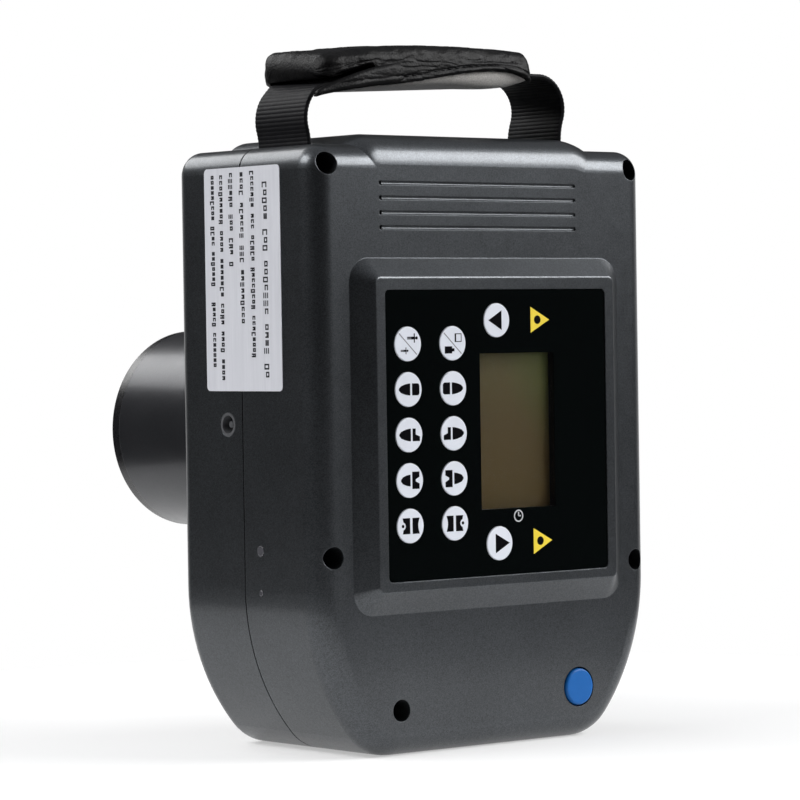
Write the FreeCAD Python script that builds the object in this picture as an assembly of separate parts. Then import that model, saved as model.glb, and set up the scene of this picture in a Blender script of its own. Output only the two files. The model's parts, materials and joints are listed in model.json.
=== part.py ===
"""Hand-held dental x-ray unit, in millimetres.

X runs to the right of someone facing the control panel, +Y runs from the panel towards the cone,
and Z is up. The origin is on the flat base, below the middle of the casing's depth.
"""

import FreeCAD
import Part

import math
import os

# Casing
BODY_WIDTH = 135.2
BODY_DEPTH = 68.6
SHOULDER_Z = 184.6
TOP_CORNER_R = 7.5
BELLY_Z = 50.7
BASE_CORNER_R = 18.0
FRONT_EDGE_R = 7.3
REAR_EDGE_R = 5.0
WALL = 2.5
FRONT_Y = -BODY_DEPTH / 2
BACK_Y = BODY_DEPTH / 2
SEAM_Y = FRONT_Y + 36.0
SEAM_GAP = 0.5
GASKET_SUNK = 0.8
HALF_WIDTH = BODY_WIDTH / 2
FAR = 100.0

# Raised hump between the strap's two slots
HUMP_TOP_Z = 188.0
HUMP_FLAT = (42.0, 35.5)
HUMP_END_R = (10.0, 24.0)
HUMP_EDGE_R = 9.5
HUMP_ROOT_Z = 160.0

# Bezel round the control panel, and the panel's overlay
BEZEL_HEIGHT = 5.0
BEZEL_FOOT = (-54.4, 54.4, 43.1, 150.4)
BEZEL_FOOT_R = 7.3
BEZEL_TOP = (-48.2, 48.2, 50.1, 144.5)
BEZEL_TOP_R = 1.8
BEZEL_EDGE_R = 0.7
OVERLAY = (-44.6, 44.6, 53.2, 140.7)
OVERLAY_R = 1.5
OVERLAY_RECESS = 0.3
OVERLAY_THICK = 0.5
OVERLAY_FIT = 0.1
PANEL_WALL = 2.4
PANEL_HOLLOW_GAP = 2.7
BEZEL_TOP_Y = FRONT_Y - BEZEL_HEIGHT
OVERLAY_Y = BEZEL_TOP_Y + OVERLAY_RECESS
LEDGE_Y = OVERLAY_Y + OVERLAY_THICK
PANEL_BACK_Y = LEDGE_Y + PANEL_WALL
WINDOW = (-7.4, 23.0, 73.4, 121.2)

# Keys of the control panel
KEY_R = 5.2
KEY_HOLE_R = 5.4
KEY_PROUD = 0.2
KEY_THICK = 1.0
KEY_EDGE_R = 0.25
KEY_TRAVEL = 0.4
KEY_STEM_R = 1.4
KEY_STEM_HOLE_R = 1.7
KEY_COLUMN_A = -36.0
KEY_COLUMN_B = -18.3
KEY_ROW_TOP_Z = 124.5
KEY_PITCH = 13.675
KEY_ROWS = 5
ARROW_X = -0.45
ARROW_Z = (131.3, 62.9)

# Boards behind the panel
LCD_GAP = 0.7
LCD_THICK = 2.4
LCD_MARGIN = (4.4, 6.2)
LCD_SPACER_R = (1.6, 0.7)
BOARD_THICK = 1.6
CONTROL_Y = FRONT_Y + 5.5
CONTROL = (-50.0, 50.0, 46.0, 148.0)
BOARD_CORNER_R = 1.5
SWITCH_SIZE = 6.0
SWITCH_HEIGHT = 3.3
SWITCH_KNOB = (1.7, 0.6)
POWER_Y = CONTROL_Y + 12.3
POWER = (-44.0, 44.0, 58.0, 148.0)
BOARD_HOLES = [(-46.5, 50.0), (46.5, 50.0), (-46.5, 144.0), (46.5, 144.0)]
SPACER_HOLES = [(-40.0, 62.0), (40.0, 62.0), (-40.0, 144.0), (40.0, 144.0)]
BOARD_POST_R = 3.0
SPACER_R = 2.5

# Parts on the boards. A chip is centre X, centre Z, width, height and thickness
CHIPS = [(-20, 90, 14, 14, 1.6), (12, 100, 10, 18, 1.6), (-34, 118, 8, 6, 1.6), (16, 60, 20, 5, 4.0)]
CAPACITOR_R = 5.0
CAPACITOR_HEIGHT = 9.5
CAPACITORS = [(-28, 76), (-16, 76), (-28, 128)]
TRANSISTORS = [(24, 80), (24, 104)]
TRANSISTOR = (5.0, 4.5, 8.0)
INDUCTOR = (0, 122, 9.0, 4.0, 8.0)
BUZZER = (20.0, 164.0)
BUZZER_R = 10.0
BUZZER_THICK = 4.0
BUZZER_HOLE_R = 1.5

# Screws
M3_R = 1.5
M3_HOLE_R = 1.6
M3_PILOT_R = 1.55
M3_HEAD_R = 2.75
M3_HEAD_H = 1.9
INNER_HEAD_H = 1.8
M2_R = 1.0
M2_PILOT_R = 1.05
M2_PILOT_DEPTH = 6.0
SLOT_HALF = 0.3
M2_HEAD_R = 1.9
M2_HEAD_H = 1.3

# Casing screws, each in a deep counterbore in the front cover
COVER_SCREWS = [(-61.5, 178.6), (61.5, 178.6), (-61.4, 61.2), (61.4, 54.6), (-36.5, 13.9)]
COUNTERBORE_R = 3.35
COUNTERBORE_FLOOR_Y = -8.0
POST_R = 4.75
COVER_SCREW_TIP_Y = 12.0

# Exposure button
BUTTON_X = 35.9
BUTTON_Z = 15.9
BUTTON_R = 5.7
BUTTON_HOLE_R = 6.25
BUTTON_PROUD = 0.7
BUTTON_TRAVEL = 1.5
BUTTON_EDGE_R = 0.8
BUTTON_FLANGE_R = 7.2
BUTTON_FLANGE = 1.2
BUTTON_STEM_R = 2.0
SWITCH_BOARD = (21.5, 49.0, 10.0, 22.0)
SWITCH_BOARD_Y = -20.0
SWITCH_POSTS = (24.5, 46.2)
EXPOSURE_SWITCH = (12.0, 5.0, 11.0)
EXPOSURE_KNOB = (3.0, 1.7)

# Round-bottomed grooves above the bezel
VENT = (-42.2, 37.3)
VENT_TOP_Z = 173.0
VENT_PITCH = 4.47
VENT_COUNT = 4
VENT_R = 0.55
VENT_SUNK = 0.1
VENT_PIT = (0.7, 1.4)

# Left side: label, charging inlet and lights
LABEL = (-18.5, 19.1, 110.9, 178.8)
LABEL_THICK = 0.2
JACK_Y = 9.1
JACK_Z = 100.7
JACK_R = 3.6
JACK_HOLE_R = 2.75
JACK_PIN_R = 1.0
JACK_PIN_SUNK = 1.2
JACK_LENGTH = 11.0
JACK_HOLE_DEPTH = 9.5
JACK_NUT_R = 5.2
JACK_NUT = 2.0
LIGHT_Y = -6.3
LIGHTS = [(62.6, 1.6), (49.9, 0.9)]
LIGHT_DEPTH = 1.4
LIGHT_PROUD = 0.2

# Cone and the beam's path
AXIS_Z = 96.7
CONE_R = 33.0
CONE_COLLAR_R = 33.4
TIP_RING_R = 32.85
TIP_RING_EDGE_R = 0.6
CONE_BORE_R = 31.05
LINER_R = 31.0
BEAM_R = 30.0
CONE_TIP_Y = BACK_Y + 85.6
TIP_RING = 4.4
FLANGE_R = 46.0
FLANGE_THICK = 3.0
FLANGE_FIT = 0.05
PAD_RING_Y = BACK_Y - WALL - 3.0
FLANGE_Y = PAD_RING_Y - FLANGE_THICK
FLANGE_SCREW_R = 40.0
DIAPHRAGM_THICK = 2.0
APERTURE_R = 8.0

# Oil tank that holds the x-ray tube and its high-voltage parts
TANK_X = 33.0
TANK_HALF_Z = 36.0
TANK_FRONT_Y = -13.3
TANK_BACK_Y = 23.7
TANK_WALL = 3.0
PORT_R = 10.0
FILTER_R = 14.0
FILTER_THICK = 1.9
EAR_THICK = 3.0
EAR_X = 39.0
EAR_Z = 34.5
EAR_HALF = (5.0, 4.5)
EAR_POST_R = 4.0
LID_SCREW = (28.0, 31.0)
LID_POST_R = 3.6
LID_SCREW_LENGTH = 9.0
FLANGE_SCREW_LENGTH = 6.5
TUBE_Y = 5.2
TUBE_R = 13.0
TUBE_LENGTH = 54.0
TUBE_END_R = 4.0
GLASS = 1.2
STEM_FIT = 0.05
ANODE_R = 7.0
ANODE_STEM_R = 4.0
ANODE_FACE = (-2.5, 18.0)
ANODE_ANGLE = 20.0
CUP_R = 6.5
CUP_HOLE_R = 3.5
CATHODE_STEM_R = 3.0
CATHODE_FACE = (-18.0, -10.0)
SADDLE_X = (-21.0, 17.0)
SADDLE_THICK = 4.0
SADDLE_HALF_Z = 15.5

# Transformer and multiplier in the tank, below and above the x-ray tube
CORE = (22.0, 65.0, 81.0)
CORE_DEPTH = 14.0
CORE_LIMB = 5.0
CORE_YOKE = 4.0
CORE_SIDE = 7.0
WINDING = 6.0
WINDING_DEPTH = 3.5
MULTIPLIER = (-24.0, 24.0, -6.0, 18.0)
MULTIPLIER_Z = 115.0
MULTIPLIER_PITCH = 9.0
STAGES = 5
HV_CAPACITOR = (3.4, 5.0, 1.0)
HV_DIODE = (1.4, 7.0, 12.0)

# Battery in the bottom of the casing
CELL_R = 9.2
CELL_LENGTH = 65.0
BATTERY_X = 4.0
CELL_Y = (-1.3, 17.3)
CELL_Z = (16.0, 34.6)
CELL_ROOM = 0.3
TRAY_FLOOR_Z = 5.0
TRAY_WALL = 1.5
TRAY_RIBS_X = (-20, 0, 20, 32)
CLAMP_HALF = 6.0
CLAMP_THICK = 0.8
CLAMP_LOW_Z = 20.0
PROTECTION_X = (13.0, 33.0)

# Strap handle
STRAP_CENTRE_X = -1.5
STRAP_SPAN = 102.0
STRAP_Y = (-14.3, 10.7)
WEB = 1.6
SLOT = (2.4, 26.0)
LOOP_Z = 174.0
LOOP_RISE = 3.0
LOOP_FIT = 0.05
STRAP_PIN_R = 2.0
STRAP_PIN_ENDS = (-20.0, 16.4)
RIB_THICK = 3.0
RIB_HALF = 4.5
LEG_LEFT = {"rise": 0.0, "out_r": 20.0, "in_r": 11.5, "lean": 15.9}
LEG_RIGHT = {"rise": 4.1, "out_r": 20.0, "in_r": 10.0, "lean": 19.9}
GRIP_Y = (-19.3, 15.7)
GRIP_ENDS = (-47.0, 33.5)
GRIP_BELOW = 2.6
GRIP_ABOVE = 9.2
GRIP_EDGE_R = 3.8
GRIP_FLAP_X = -38.0
GRIP_FLAP_ABOVE = 1.2
GRIP_SLOT_FIT = (0.4, 0.3)
WEB_END_GAP = 0.3


def vec(x, y, z):
    return FreeCAD.Vector(x, y, z)


def box(x0, x1, y0, y1, z0, z1):
    return Part.makeBox(x1 - x0, y1 - y0, z1 - z0, vec(x0, y0, z0))


def rod_y(x, z, radius, y0, y1):
    """Cylinder along Y."""
    return Part.makeCylinder(radius, y1 - y0, vec(x, y0, z), vec(0, 1, 0))


def rod_x(y, z, radius, x0, x1):
    """Cylinder along X."""
    return Part.makeCylinder(radius, x1 - x0, vec(x0, y, z), vec(1, 0, 0))


def ring_y(x, z, outer, inner, y0, y1):
    """Tube along Y."""
    return rod_y(x, z, outer, y0, y1).cut(rod_y(x, z, inner, y0 - 1, y1 + 1))


def arc(cx, cz, radius, start, end, y):
    """Arc edge in a plane of constant Y, from one angle to another in degrees."""

    def at(angle):
        a = math.radians(angle)
        return vec(cx + radius * math.cos(a), y, cz + radius * math.sin(a))

    return Part.Arc(at(start), at((start + end) / 2), at(end)).toShape()


def join_arcs(arcs):
    """Closed wire of arcs, with a straight line from each arc's end to the next one's start."""
    edges = []
    for i, edge in enumerate(arcs):
        edges.append(edge)
        here = edge.valueAt(edge.LastParameter)
        there = arcs[(i + 1) % len(arcs)]
        there = there.valueAt(there.FirstParameter)
        if here.distanceToPoint(there) > 1e-6:
            edges.append(Part.makeLine(here, there))
    return Part.Wire(edges)


def rounded_wire(rect, radius, y):
    """Rectangle with round corners, in a plane of constant Y."""
    x0, x1, z0, z1 = rect
    return join_arcs([
        arc(x1 - radius, z0 + radius, radius, -90, 0, y),
        arc(x1 - radius, z1 - radius, radius, 0, 90, y),
        arc(x0 + radius, z1 - radius, radius, 90, 180, y),
        arc(x0 + radius, z0 + radius, radius, 180, 270, y),
    ])


def plate(rect, radius, y0, y1):
    """Flat plate with round corners."""
    return Part.Face(rounded_wire(rect, radius, y0)).extrude(vec(0, y1 - y0, 0))


def grown(rect, by):
    x0, x1, z0, z1 = rect
    return (x0 - by, x1 + by, z0 - by, z1 + by)


def fuse_all(solids):
    first, *rest = solids
    return first.fuse(rest).removeSplitter()


def cut_all(solid, tools):
    return solid.cut(Part.makeCompound(tools))


def edges_at_y(solid, y, above=-1.0):
    """Edges that lie in the plane at y, leaving out those wholly at or under a height."""
    flat = [e for e in solid.Edges if all(abs(v.Y - y) < 1e-6 for v in e.Vertexes)]
    return [e for e in flat if max(v.Z for v in e.Vertexes) > above]


def screw_y(x, z, head_y, length, radius, head_r, head_h, side=1):
    """Cross-head screw along Y. side is 1 where it points to +Y and -1 where it points to -Y."""
    y0, y1 = sorted((head_y, head_y + side * length))
    h0, h1 = sorted((head_y, head_y - side * head_h))
    c0, c1 = sorted((head_y - side * head_h, head_y - side * head_h * 0.4))
    solid = rod_y(x, z, radius, y0, y1).fuse(rod_y(x, z, head_r, h0, h1)).removeSplitter()
    arms = ((head_r * 0.6, SLOT_HALF), (SLOT_HALF, head_r * 0.6))
    return cut_all(solid, [box(x - a, x + a, c0, c1, z - b, z + b) for a, b in arms])


# Casing


def body_prism(inset):
    """Casing without its hump: straight sides, round shoulders and a round belly on a flat base."""
    half = HALF_WIDTH - inset
    top = SHOULDER_Z - inset
    corner = TOP_CORNER_R - inset
    base_r = BASE_CORNER_R - inset
    base_x = math.sqrt((HALF_WIDTH - BASE_CORNER_R) ** 2 - (BELLY_Z - BASE_CORNER_R) ** 2)
    turn = math.degrees(math.atan2(BASE_CORNER_R - BELLY_Z, base_x))
    y = FRONT_Y + inset
    outline = join_arcs([
        arc(base_x, BASE_CORNER_R, base_r, -90, turn, y),
        arc(0, BELLY_Z, half, turn, 0, y),
        arc(half - corner, top - corner, corner, 0, 90, y),
        arc(corner - half, top - corner, corner, 90, 180, y),
        arc(0, BELLY_Z, half, 180, 180 - turn, y),
        arc(-base_x, BASE_CORNER_R, base_r, 180 - turn, 270, y),
    ])
    solid = Part.Face(outline).extrude(vec(0, BODY_DEPTH - 2 * inset, 0))
    solid = solid.makeFillet(FRONT_EDGE_R - inset, edges_at_y(solid, FRONT_Y + inset))
    return solid.makeFillet(REAR_EDGE_R - inset, edges_at_y(solid, BACK_Y - inset))


def hump_prism(inset):
    """The hump, whose foot is buried in the casing. Its left end is steeper than its right end."""
    top = HUMP_TOP_Z - inset
    y = FRONT_Y + inset
    root = HUMP_ROOT_Z
    r_left, r_right = (radius - inset for radius in HUMP_END_R)
    flat_left, flat_right = -HUMP_FLAT[0], HUMP_FLAT[1]
    left, right = flat_left - r_left, flat_right + r_right
    edges = [
        Part.makeLine(vec(left, y, root), vec(right, y, root)),
        Part.makeLine(vec(right, y, root), vec(right, y, top - r_right)),
        arc(flat_right, top - r_right, r_right, 0, 90, y),
        Part.makeLine(vec(flat_right, y, top), vec(flat_left, y, top)),
        arc(flat_left, top - r_left, r_left, 90, 180, y),
        Part.makeLine(vec(left, y, top - r_left), vec(left, y, root)),
    ]
    solid = Part.Face(Part.Wire(edges)).extrude(vec(0, BODY_DEPTH - 2 * inset, 0))
    solid = solid.makeFillet(HUMP_EDGE_R - inset, edges_at_y(solid, FRONT_Y + inset, root))
    return solid.makeFillet(REAR_EDGE_R - inset, edges_at_y(solid, BACK_Y - inset, root))


def casing(inset):
    return body_prism(inset).fuse(hump_prism(inset)).removeSplitter()


def bezel_solid(gap, height):
    """Truncated pyramid on the front face, gap smaller on every side."""
    foot = rounded_wire(grown(BEZEL_FOOT, -gap), BEZEL_FOOT_R - gap * 0.5, FRONT_Y)
    top = rounded_wire(grown(BEZEL_TOP, -gap), max(BEZEL_TOP_R - gap * 0.5, 0.6), FRONT_Y - height)
    return Part.makeLoft([foot, top], True, True)


def key_places():
    """Name, X and Z of each key."""
    places = []
    for column, x in (("a", KEY_COLUMN_A), ("b", KEY_COLUMN_B)):
        for row in range(KEY_ROWS):
            places.append((f"key_{column}{row + 1}", x, KEY_ROW_TOP_Z - row * KEY_PITCH))
    places.append(("key_less", ARROW_X, ARROW_Z[0]))
    places.append(("key_more", ARROW_X, ARROW_Z[1]))
    return places


def leg_x(side):
    """X of the webbing where it leaves the casing, side -1 on the left and 1 on the right."""
    return STRAP_CENTRE_X + side * STRAP_SPAN / 2


def strap_slots():
    """The two slots in the top of the casing that the webbing comes out of."""
    middle = (STRAP_Y[0] + STRAP_Y[1]) / 2
    slots = []
    for side in (-1, 1):
        x = leg_x(side)
        slots.append(box(x - SLOT[0] / 2, x + SLOT[0] / 2, middle - SLOT[1] / 2, middle + SLOT[1] / 2,
                         SHOULDER_Z - WALL - 2, HUMP_TOP_Z + 2))
    return slots


def strap_rib(side, y0):
    """Rib under the casing's top that holds one end of a strap pin."""
    x = leg_x(side)
    y1 = y0 + RIB_THICK
    rib = box(x - RIB_HALF, x + RIB_HALF, y0, y1, LOOP_Z - RIB_HALF, SHOULDER_Z - 1)
    return rib.cut(rod_y(x, LOOP_Z, STRAP_PIN_R + LOOP_FIT, y0 - 1, y1 + 1))


def post(x, z, radius, y0, y1, outside):
    """Round post, trimmed to stay inside the casing's skin."""
    return rod_y(x, z, radius, y0, y1).common(outside)


def panel_cuts():
    """What is cut out of the bezel: overlay seat, window, key recesses and stem holes."""
    cuts = [plate(grown(OVERLAY, OVERLAY_FIT), OVERLAY_R, BEZEL_TOP_Y - 1, LEDGE_Y)]
    x0, x1, z0, z1 = WINDOW
    cuts.append(box(x0, x1, LEDGE_Y - 1, PANEL_BACK_Y + 1, z0, z1))
    for _, x, z in key_places():
        floor = BEZEL_TOP_Y + OVERLAY_RECESS - KEY_PROUD + KEY_THICK + KEY_TRAVEL + 0.2
        cuts.append(rod_y(x, z, KEY_HOLE_R, LEDGE_Y - 1, floor))
        cuts.append(rod_y(x, z, KEY_STEM_HOLE_R, LEDGE_Y - 1, PANEL_BACK_Y + 1))
    return cuts


def vent_grooves():
    """Long round-bottomed grooves with ball ends, and a small pit at the left end of each."""
    grooves = []
    y = FRONT_Y + VENT_SUNK
    x0, x1 = VENT[0] + VENT_R, VENT[1] - VENT_R
    for i in range(VENT_COUNT):
        z = VENT_TOP_Z - i * VENT_PITCH
        balls = [Part.makeSphere(VENT_R, vec(x, y, z)) for x in (x0, x1)]
        mouth = box(x0, x1, y - 1, y, z - VENT_R, z + VENT_R)
        mouths = [rod_y(x, z, VENT_R, y - 1, y) for x in (x0, x1)]
        pit = rod_y(x0, z, VENT_PIT[0], y - 1, FRONT_Y + VENT_PIT[1])
        grooves.append(fuse_all([rod_x(y, z, VENT_R, x0, x1), mouth, pit] + balls + mouths))
    return grooves


def front_cover(outside, inside):
    seam = SEAM_Y - SEAM_GAP / 2
    half = box(-FAR, FAR, -FAR, seam, -FAR, 3 * FAR)
    raised = bezel_solid(0, BEZEL_HEIGHT)
    raised = raised.makeFillet(BEZEL_EDGE_R, edges_at_y(raised, BEZEL_TOP_Y))
    shell = outside.fuse(raised).removeSplitter().common(half)
    hollow = bezel_solid(PANEL_HOLLOW_GAP, FRONT_Y - PANEL_BACK_Y).fuse(
        plate(grown(BEZEL_FOOT, -PANEL_HOLLOW_GAP), BEZEL_FOOT_R, FRONT_Y, FRONT_Y + WALL + 0.5))
    shell = shell.cut(inside.fuse(hollow))
    inner_y = FRONT_Y + WALL - 0.5
    posts = [post(x, z, POST_R, FRONT_Y, seam, outside) for x, z in COVER_SCREWS]
    posts += [rod_y(x, z, BOARD_POST_R, PANEL_BACK_Y - 0.5, CONTROL_Y) for x, z in BOARD_HOLES]
    posts += [rod_y(x, BUTTON_Z, BOARD_POST_R, inner_y, SWITCH_BOARD_Y) for x in SWITCH_POSTS]
    posts += [strap_rib(side, STRAP_PIN_ENDS[0]) for side in (-1, 1)]
    cuts = panel_cuts() + vent_grooves() + strap_slots()
    for x, z in COVER_SCREWS:
        cuts.append(rod_y(x, z, COUNTERBORE_R, FRONT_Y - 1, COUNTERBORE_FLOOR_Y))
        cuts.append(rod_y(x, z, M3_HOLE_R, COUNTERBORE_FLOOR_Y - 1, seam + 1))
    cuts += [rod_y(x, z, M2_PILOT_R, CONTROL_Y - 3.5, CONTROL_Y + 1) for x, z in BOARD_HOLES]
    pilot_y = SWITCH_BOARD_Y - M2_PILOT_DEPTH
    cuts += [rod_y(x, BUTTON_Z, M2_PILOT_R, pilot_y, SWITCH_BOARD_Y + 1) for x in SWITCH_POSTS]
    cuts.append(rod_y(BUTTON_X, BUTTON_Z, BUTTON_HOLE_R, FRONT_Y - 1, FRONT_Y + WALL + 1))
    side = -HALF_WIDTH
    cuts += [rod_x(LIGHT_Y, z, radius + 0.05, side - 1, side + LIGHT_DEPTH) for z, radius in LIGHTS]
    return cut_all(fuse_all([shell] + posts), cuts)


def rear_cover(outside, inside):
    seam = SEAM_Y + SEAM_GAP / 2
    half = box(-FAR, FAR, seam, FAR, -FAR, 3 * FAR)
    shell = outside.common(half).cut(inside)
    wall_y = BACK_Y - WALL
    parts = [post(x, z, POST_R, seam, wall_y + 0.5, outside) for x, z in COVER_SCREWS]
    parts.append(rod_y(0, AXIS_Z, FLANGE_R + 1, PAD_RING_Y, wall_y + 0.5))
    parts += [rod_y(x, z, EAR_POST_R, TANK_BACK_Y, wall_y + 0.5) for x, z in tank_ears()]
    parts += [strap_rib(side, STRAP_PIN_ENDS[1] - RIB_THICK) for side in (-1, 1)]
    tray_z = TRAY_FLOOR_Z - TRAY_WALL
    parts += [box(x - 1, x + 1, seam + 3, wall_y + 0.5, WALL - 0.5, tray_z) for x in TRAY_RIBS_X]
    solid = fuse_all([shell] + parts)
    cuts = [rod_y(0, AXIS_Z, CONE_COLLAR_R + 0.1, PAD_RING_Y - 1, BACK_Y + 1)]
    cuts += [rod_y(x, z, M3_PILOT_R, seam - 1, COVER_SCREW_TIP_Y + 1) for x, z in COVER_SCREWS]
    cuts += [rod_y(x, z, M3_PILOT_R, TANK_BACK_Y - 1, BACK_Y - 2.8) for x, z in tank_ears()]
    cuts += [rod_y(x, z, M3_PILOT_R, PAD_RING_Y - 1, BACK_Y - 1.8) for x, z in flange_screws()]
    cuts.append(rod_x(JACK_Y, JACK_Z, JACK_R + 0.05, -HALF_WIDTH - 1, -HALF_WIDTH + WALL + 2))
    return cut_all(solid, cuts + strap_slots())


def seam_gasket():
    """Rubber cord pressed between the two covers, a little below their skin."""
    skin = body_slice(GASKET_SUNK)
    return skin.cut(body_slice(WALL - 0.3)).cut(Part.makeCompound(
        strap_slots() + [rod_y(x, z, POST_R, SEAM_Y - 2, SEAM_Y + 2) for x, z in COVER_SCREWS]))


def body_slice(inset):
    layer = box(-FAR, FAR, SEAM_Y - SEAM_GAP / 2, SEAM_Y + SEAM_GAP / 2, -FAR, 3 * FAR)
    return casing(inset).common(layer)


def cover_screws():
    length = COVER_SCREW_TIP_Y - COUNTERBORE_FLOOR_Y
    return [screw_y(x, z, COUNTERBORE_FLOOR_Y, length, M3_R, M3_HEAD_R, M3_HEAD_H) for x, z in COVER_SCREWS]


# Control panel


def panel_overlay():
    sheet = plate(OVERLAY, OVERLAY_R, OVERLAY_Y, LEDGE_Y)
    x0, x1, z0, z1 = WINDOW
    holes = [box(x0, x1, OVERLAY_Y - 1, LEDGE_Y + 1, z0, z1)]
    holes += [rod_y(x, z, KEY_HOLE_R, OVERLAY_Y - 1, LEDGE_Y + 1) for _, x, z in key_places()]
    return cut_all(sheet, holes)


def lcd_window():
    x0, x1, z0, z1 = WINDOW
    return box(x0, x1, OVERLAY_Y, LEDGE_Y, z0, z1)


def key(x, z):
    """Round key with a stem that reaches its switch."""
    front = OVERLAY_Y - KEY_PROUD
    cap = rod_y(x, z, KEY_R, front, front + KEY_THICK)
    cap = cap.makeFillet(KEY_EDGE_R, edges_at_y(cap, front))
    stem_end = CONTROL_Y - SWITCH_HEIGHT - KEY_TRAVEL - 0.05
    return cap.fuse(rod_y(x, z, KEY_STEM_R, front + KEY_THICK / 2, stem_end)).removeSplitter()


def key_switches():
    half = SWITCH_SIZE / 2
    knob_r, knob_height = SWITCH_KNOB
    top = CONTROL_Y - SWITCH_HEIGHT
    switches = []
    for _, x, z in key_places():
        switch = box(x - half, x + half, top + knob_height, CONTROL_Y, z - half, z + half)
        switches.append(switch.fuse(rod_y(x, z, knob_r, top, top + 1)).removeSplitter())
    return switches


def lcd_rect():
    x0, x1, z0, z1 = WINDOW
    side, end = LCD_MARGIN
    return (x0 - side, x1 + side, z0 - end, z1 + end)


def lcd_panel():
    x0, x1, z0, z1 = lcd_rect()
    front = PANEL_BACK_Y + LCD_GAP
    return box(x0, x1, front, front + LCD_THICK, z0, z1)


def lcd_board():
    x0, x1, z0, z1 = lcd_rect()
    front = PANEL_BACK_Y + LCD_GAP + LCD_THICK
    return box(x0, x1 + 3, front, front + BOARD_THICK, z0, z1)


def lcd_spacers():
    x0, x1, z0, z1 = lcd_rect()
    back = PANEL_BACK_Y + LCD_GAP + LCD_THICK + BOARD_THICK
    corners = [(x, z) for x in (x0 + 2, x1 + 1) for z in (z0 + 2, z1 - 2)]
    return [ring_y(x, z, *LCD_SPACER_R, back, CONTROL_Y) for x, z in corners]


def board(rect, y, holes, radius):
    """Circuit board with round holes."""
    sheet = plate(rect, BOARD_CORNER_R, y, y + BOARD_THICK)
    return cut_all(sheet, [rod_y(x, z, radius, y - 1, y + BOARD_THICK + 1) for x, z in holes])


def control_chips():
    """Processor, display driver and connector on the control board's back."""
    back = CONTROL_Y + BOARD_THICK
    return [box(x - w / 2, x + w / 2, back, back + t, z - h / 2, z + h / 2) for x, z, w, h, t in CHIPS]


def board_screws():
    head = CONTROL_Y + BOARD_THICK
    screws = [screw_y(x, z, head, 4.8, M2_R, M2_HEAD_R, M2_HEAD_H, -1) for x, z in BOARD_HOLES]
    head = SWITCH_BOARD_Y + BOARD_THICK
    screws += [screw_y(x, BUTTON_Z, head, 6.0, M2_R, M2_HEAD_R, M2_HEAD_H, -1) for x in SWITCH_POSTS]
    return screws


def board_spacers():
    back = CONTROL_Y + BOARD_THICK
    return [ring_y(x, z, SPACER_R, M2_PILOT_R, back, POWER_Y) for x, z in SPACER_HOLES]


def power_parts():
    """Capacitors, inductor and transistors of the tube's driver, on the side facing the panel."""
    y = POWER_Y
    half_x, depth, half_z = TRANSISTOR
    parts = [rod_y(x, z, CAPACITOR_R, y - CAPACITOR_HEIGHT, y) for x, z in CAPACITORS]
    parts += [box(x - half_x, x + half_x, y - depth, y, z - half_z, z + half_z) for x, z in TRANSISTORS]
    x, z, outer, inner, depth = INDUCTOR
    parts.append(ring_y(x, z, outer, inner, y - depth, y))
    return parts


def buzzer():
    front = FRONT_Y + WALL
    case = rod_y(*BUZZER, BUZZER_R, front, front + BUZZER_THICK)
    return case.cut(rod_y(*BUZZER, BUZZER_HOLE_R, front + BUZZER_THICK / 2, front + BUZZER_THICK + 1))


# Exposure button


def exposure_button():
    """Round cap with a flange behind the casing wall and a stem."""
    front = FRONT_Y - BUTTON_PROUD
    flange_y = FRONT_Y + WALL + 0.3
    stem_end = exposure_knob_y() - BUTTON_TRAVEL - 0.1
    cap = rod_y(BUTTON_X, BUTTON_Z, BUTTON_R, front, flange_y + BUTTON_FLANGE / 2)
    cap = cap.makeFillet(BUTTON_EDGE_R, edges_at_y(cap, front))
    flange = rod_y(BUTTON_X, BUTTON_Z, BUTTON_FLANGE_R, flange_y, flange_y + BUTTON_FLANGE)
    stem = rod_y(BUTTON_X, BUTTON_Z, BUTTON_STEM_R, flange_y, stem_end)
    return fuse_all([cap, flange, stem])


def exposure_knob_y():
    """Front of the exposure switch's knob."""
    return SWITCH_BOARD_Y - EXPOSURE_SWITCH[1] - EXPOSURE_KNOB[1]


def exposure_switch():
    width, depth, height = EXPOSURE_SWITCH
    front = SWITCH_BOARD_Y - depth
    x0, z0 = BUTTON_X - width / 2, BUTTON_Z - height / 2
    body = box(x0, x0 + width, front, SWITCH_BOARD_Y, z0, z0 + height)
    knob = rod_y(BUTTON_X, BUTTON_Z, EXPOSURE_KNOB[0], exposure_knob_y(), front + 1)
    return body.fuse(knob).removeSplitter()


# Left side


def rating_label():
    y0, y1, z0, z1 = LABEL
    sheet = box(-HALF_WIDTH - LABEL_THICK, -HALF_WIDTH, y0, y1, z0, z1)
    corners = [e for e in sheet.Edges if abs(e.tangentAt(0).x) > 0.9]
    return sheet.makeFillet(1.5, corners)


def dc_jack():
    """Barrel inlet with its centre pin."""
    side = -HALF_WIDTH
    outer = rod_x(JACK_Y, JACK_Z, JACK_R, side, side + JACK_LENGTH)
    nut = rod_x(JACK_Y, JACK_Z, JACK_NUT_R, side + WALL, side + WALL + JACK_NUT)
    hole = rod_x(JACK_Y, JACK_Z, JACK_HOLE_R, side - 1, side + JACK_HOLE_DEPTH)
    pin = rod_x(JACK_Y, JACK_Z, JACK_PIN_R, side + JACK_PIN_SUNK, side + JACK_LENGTH - 0.5)
    return outer.fuse(nut).removeSplitter().cut(hole).fuse(pin).removeSplitter()


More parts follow.
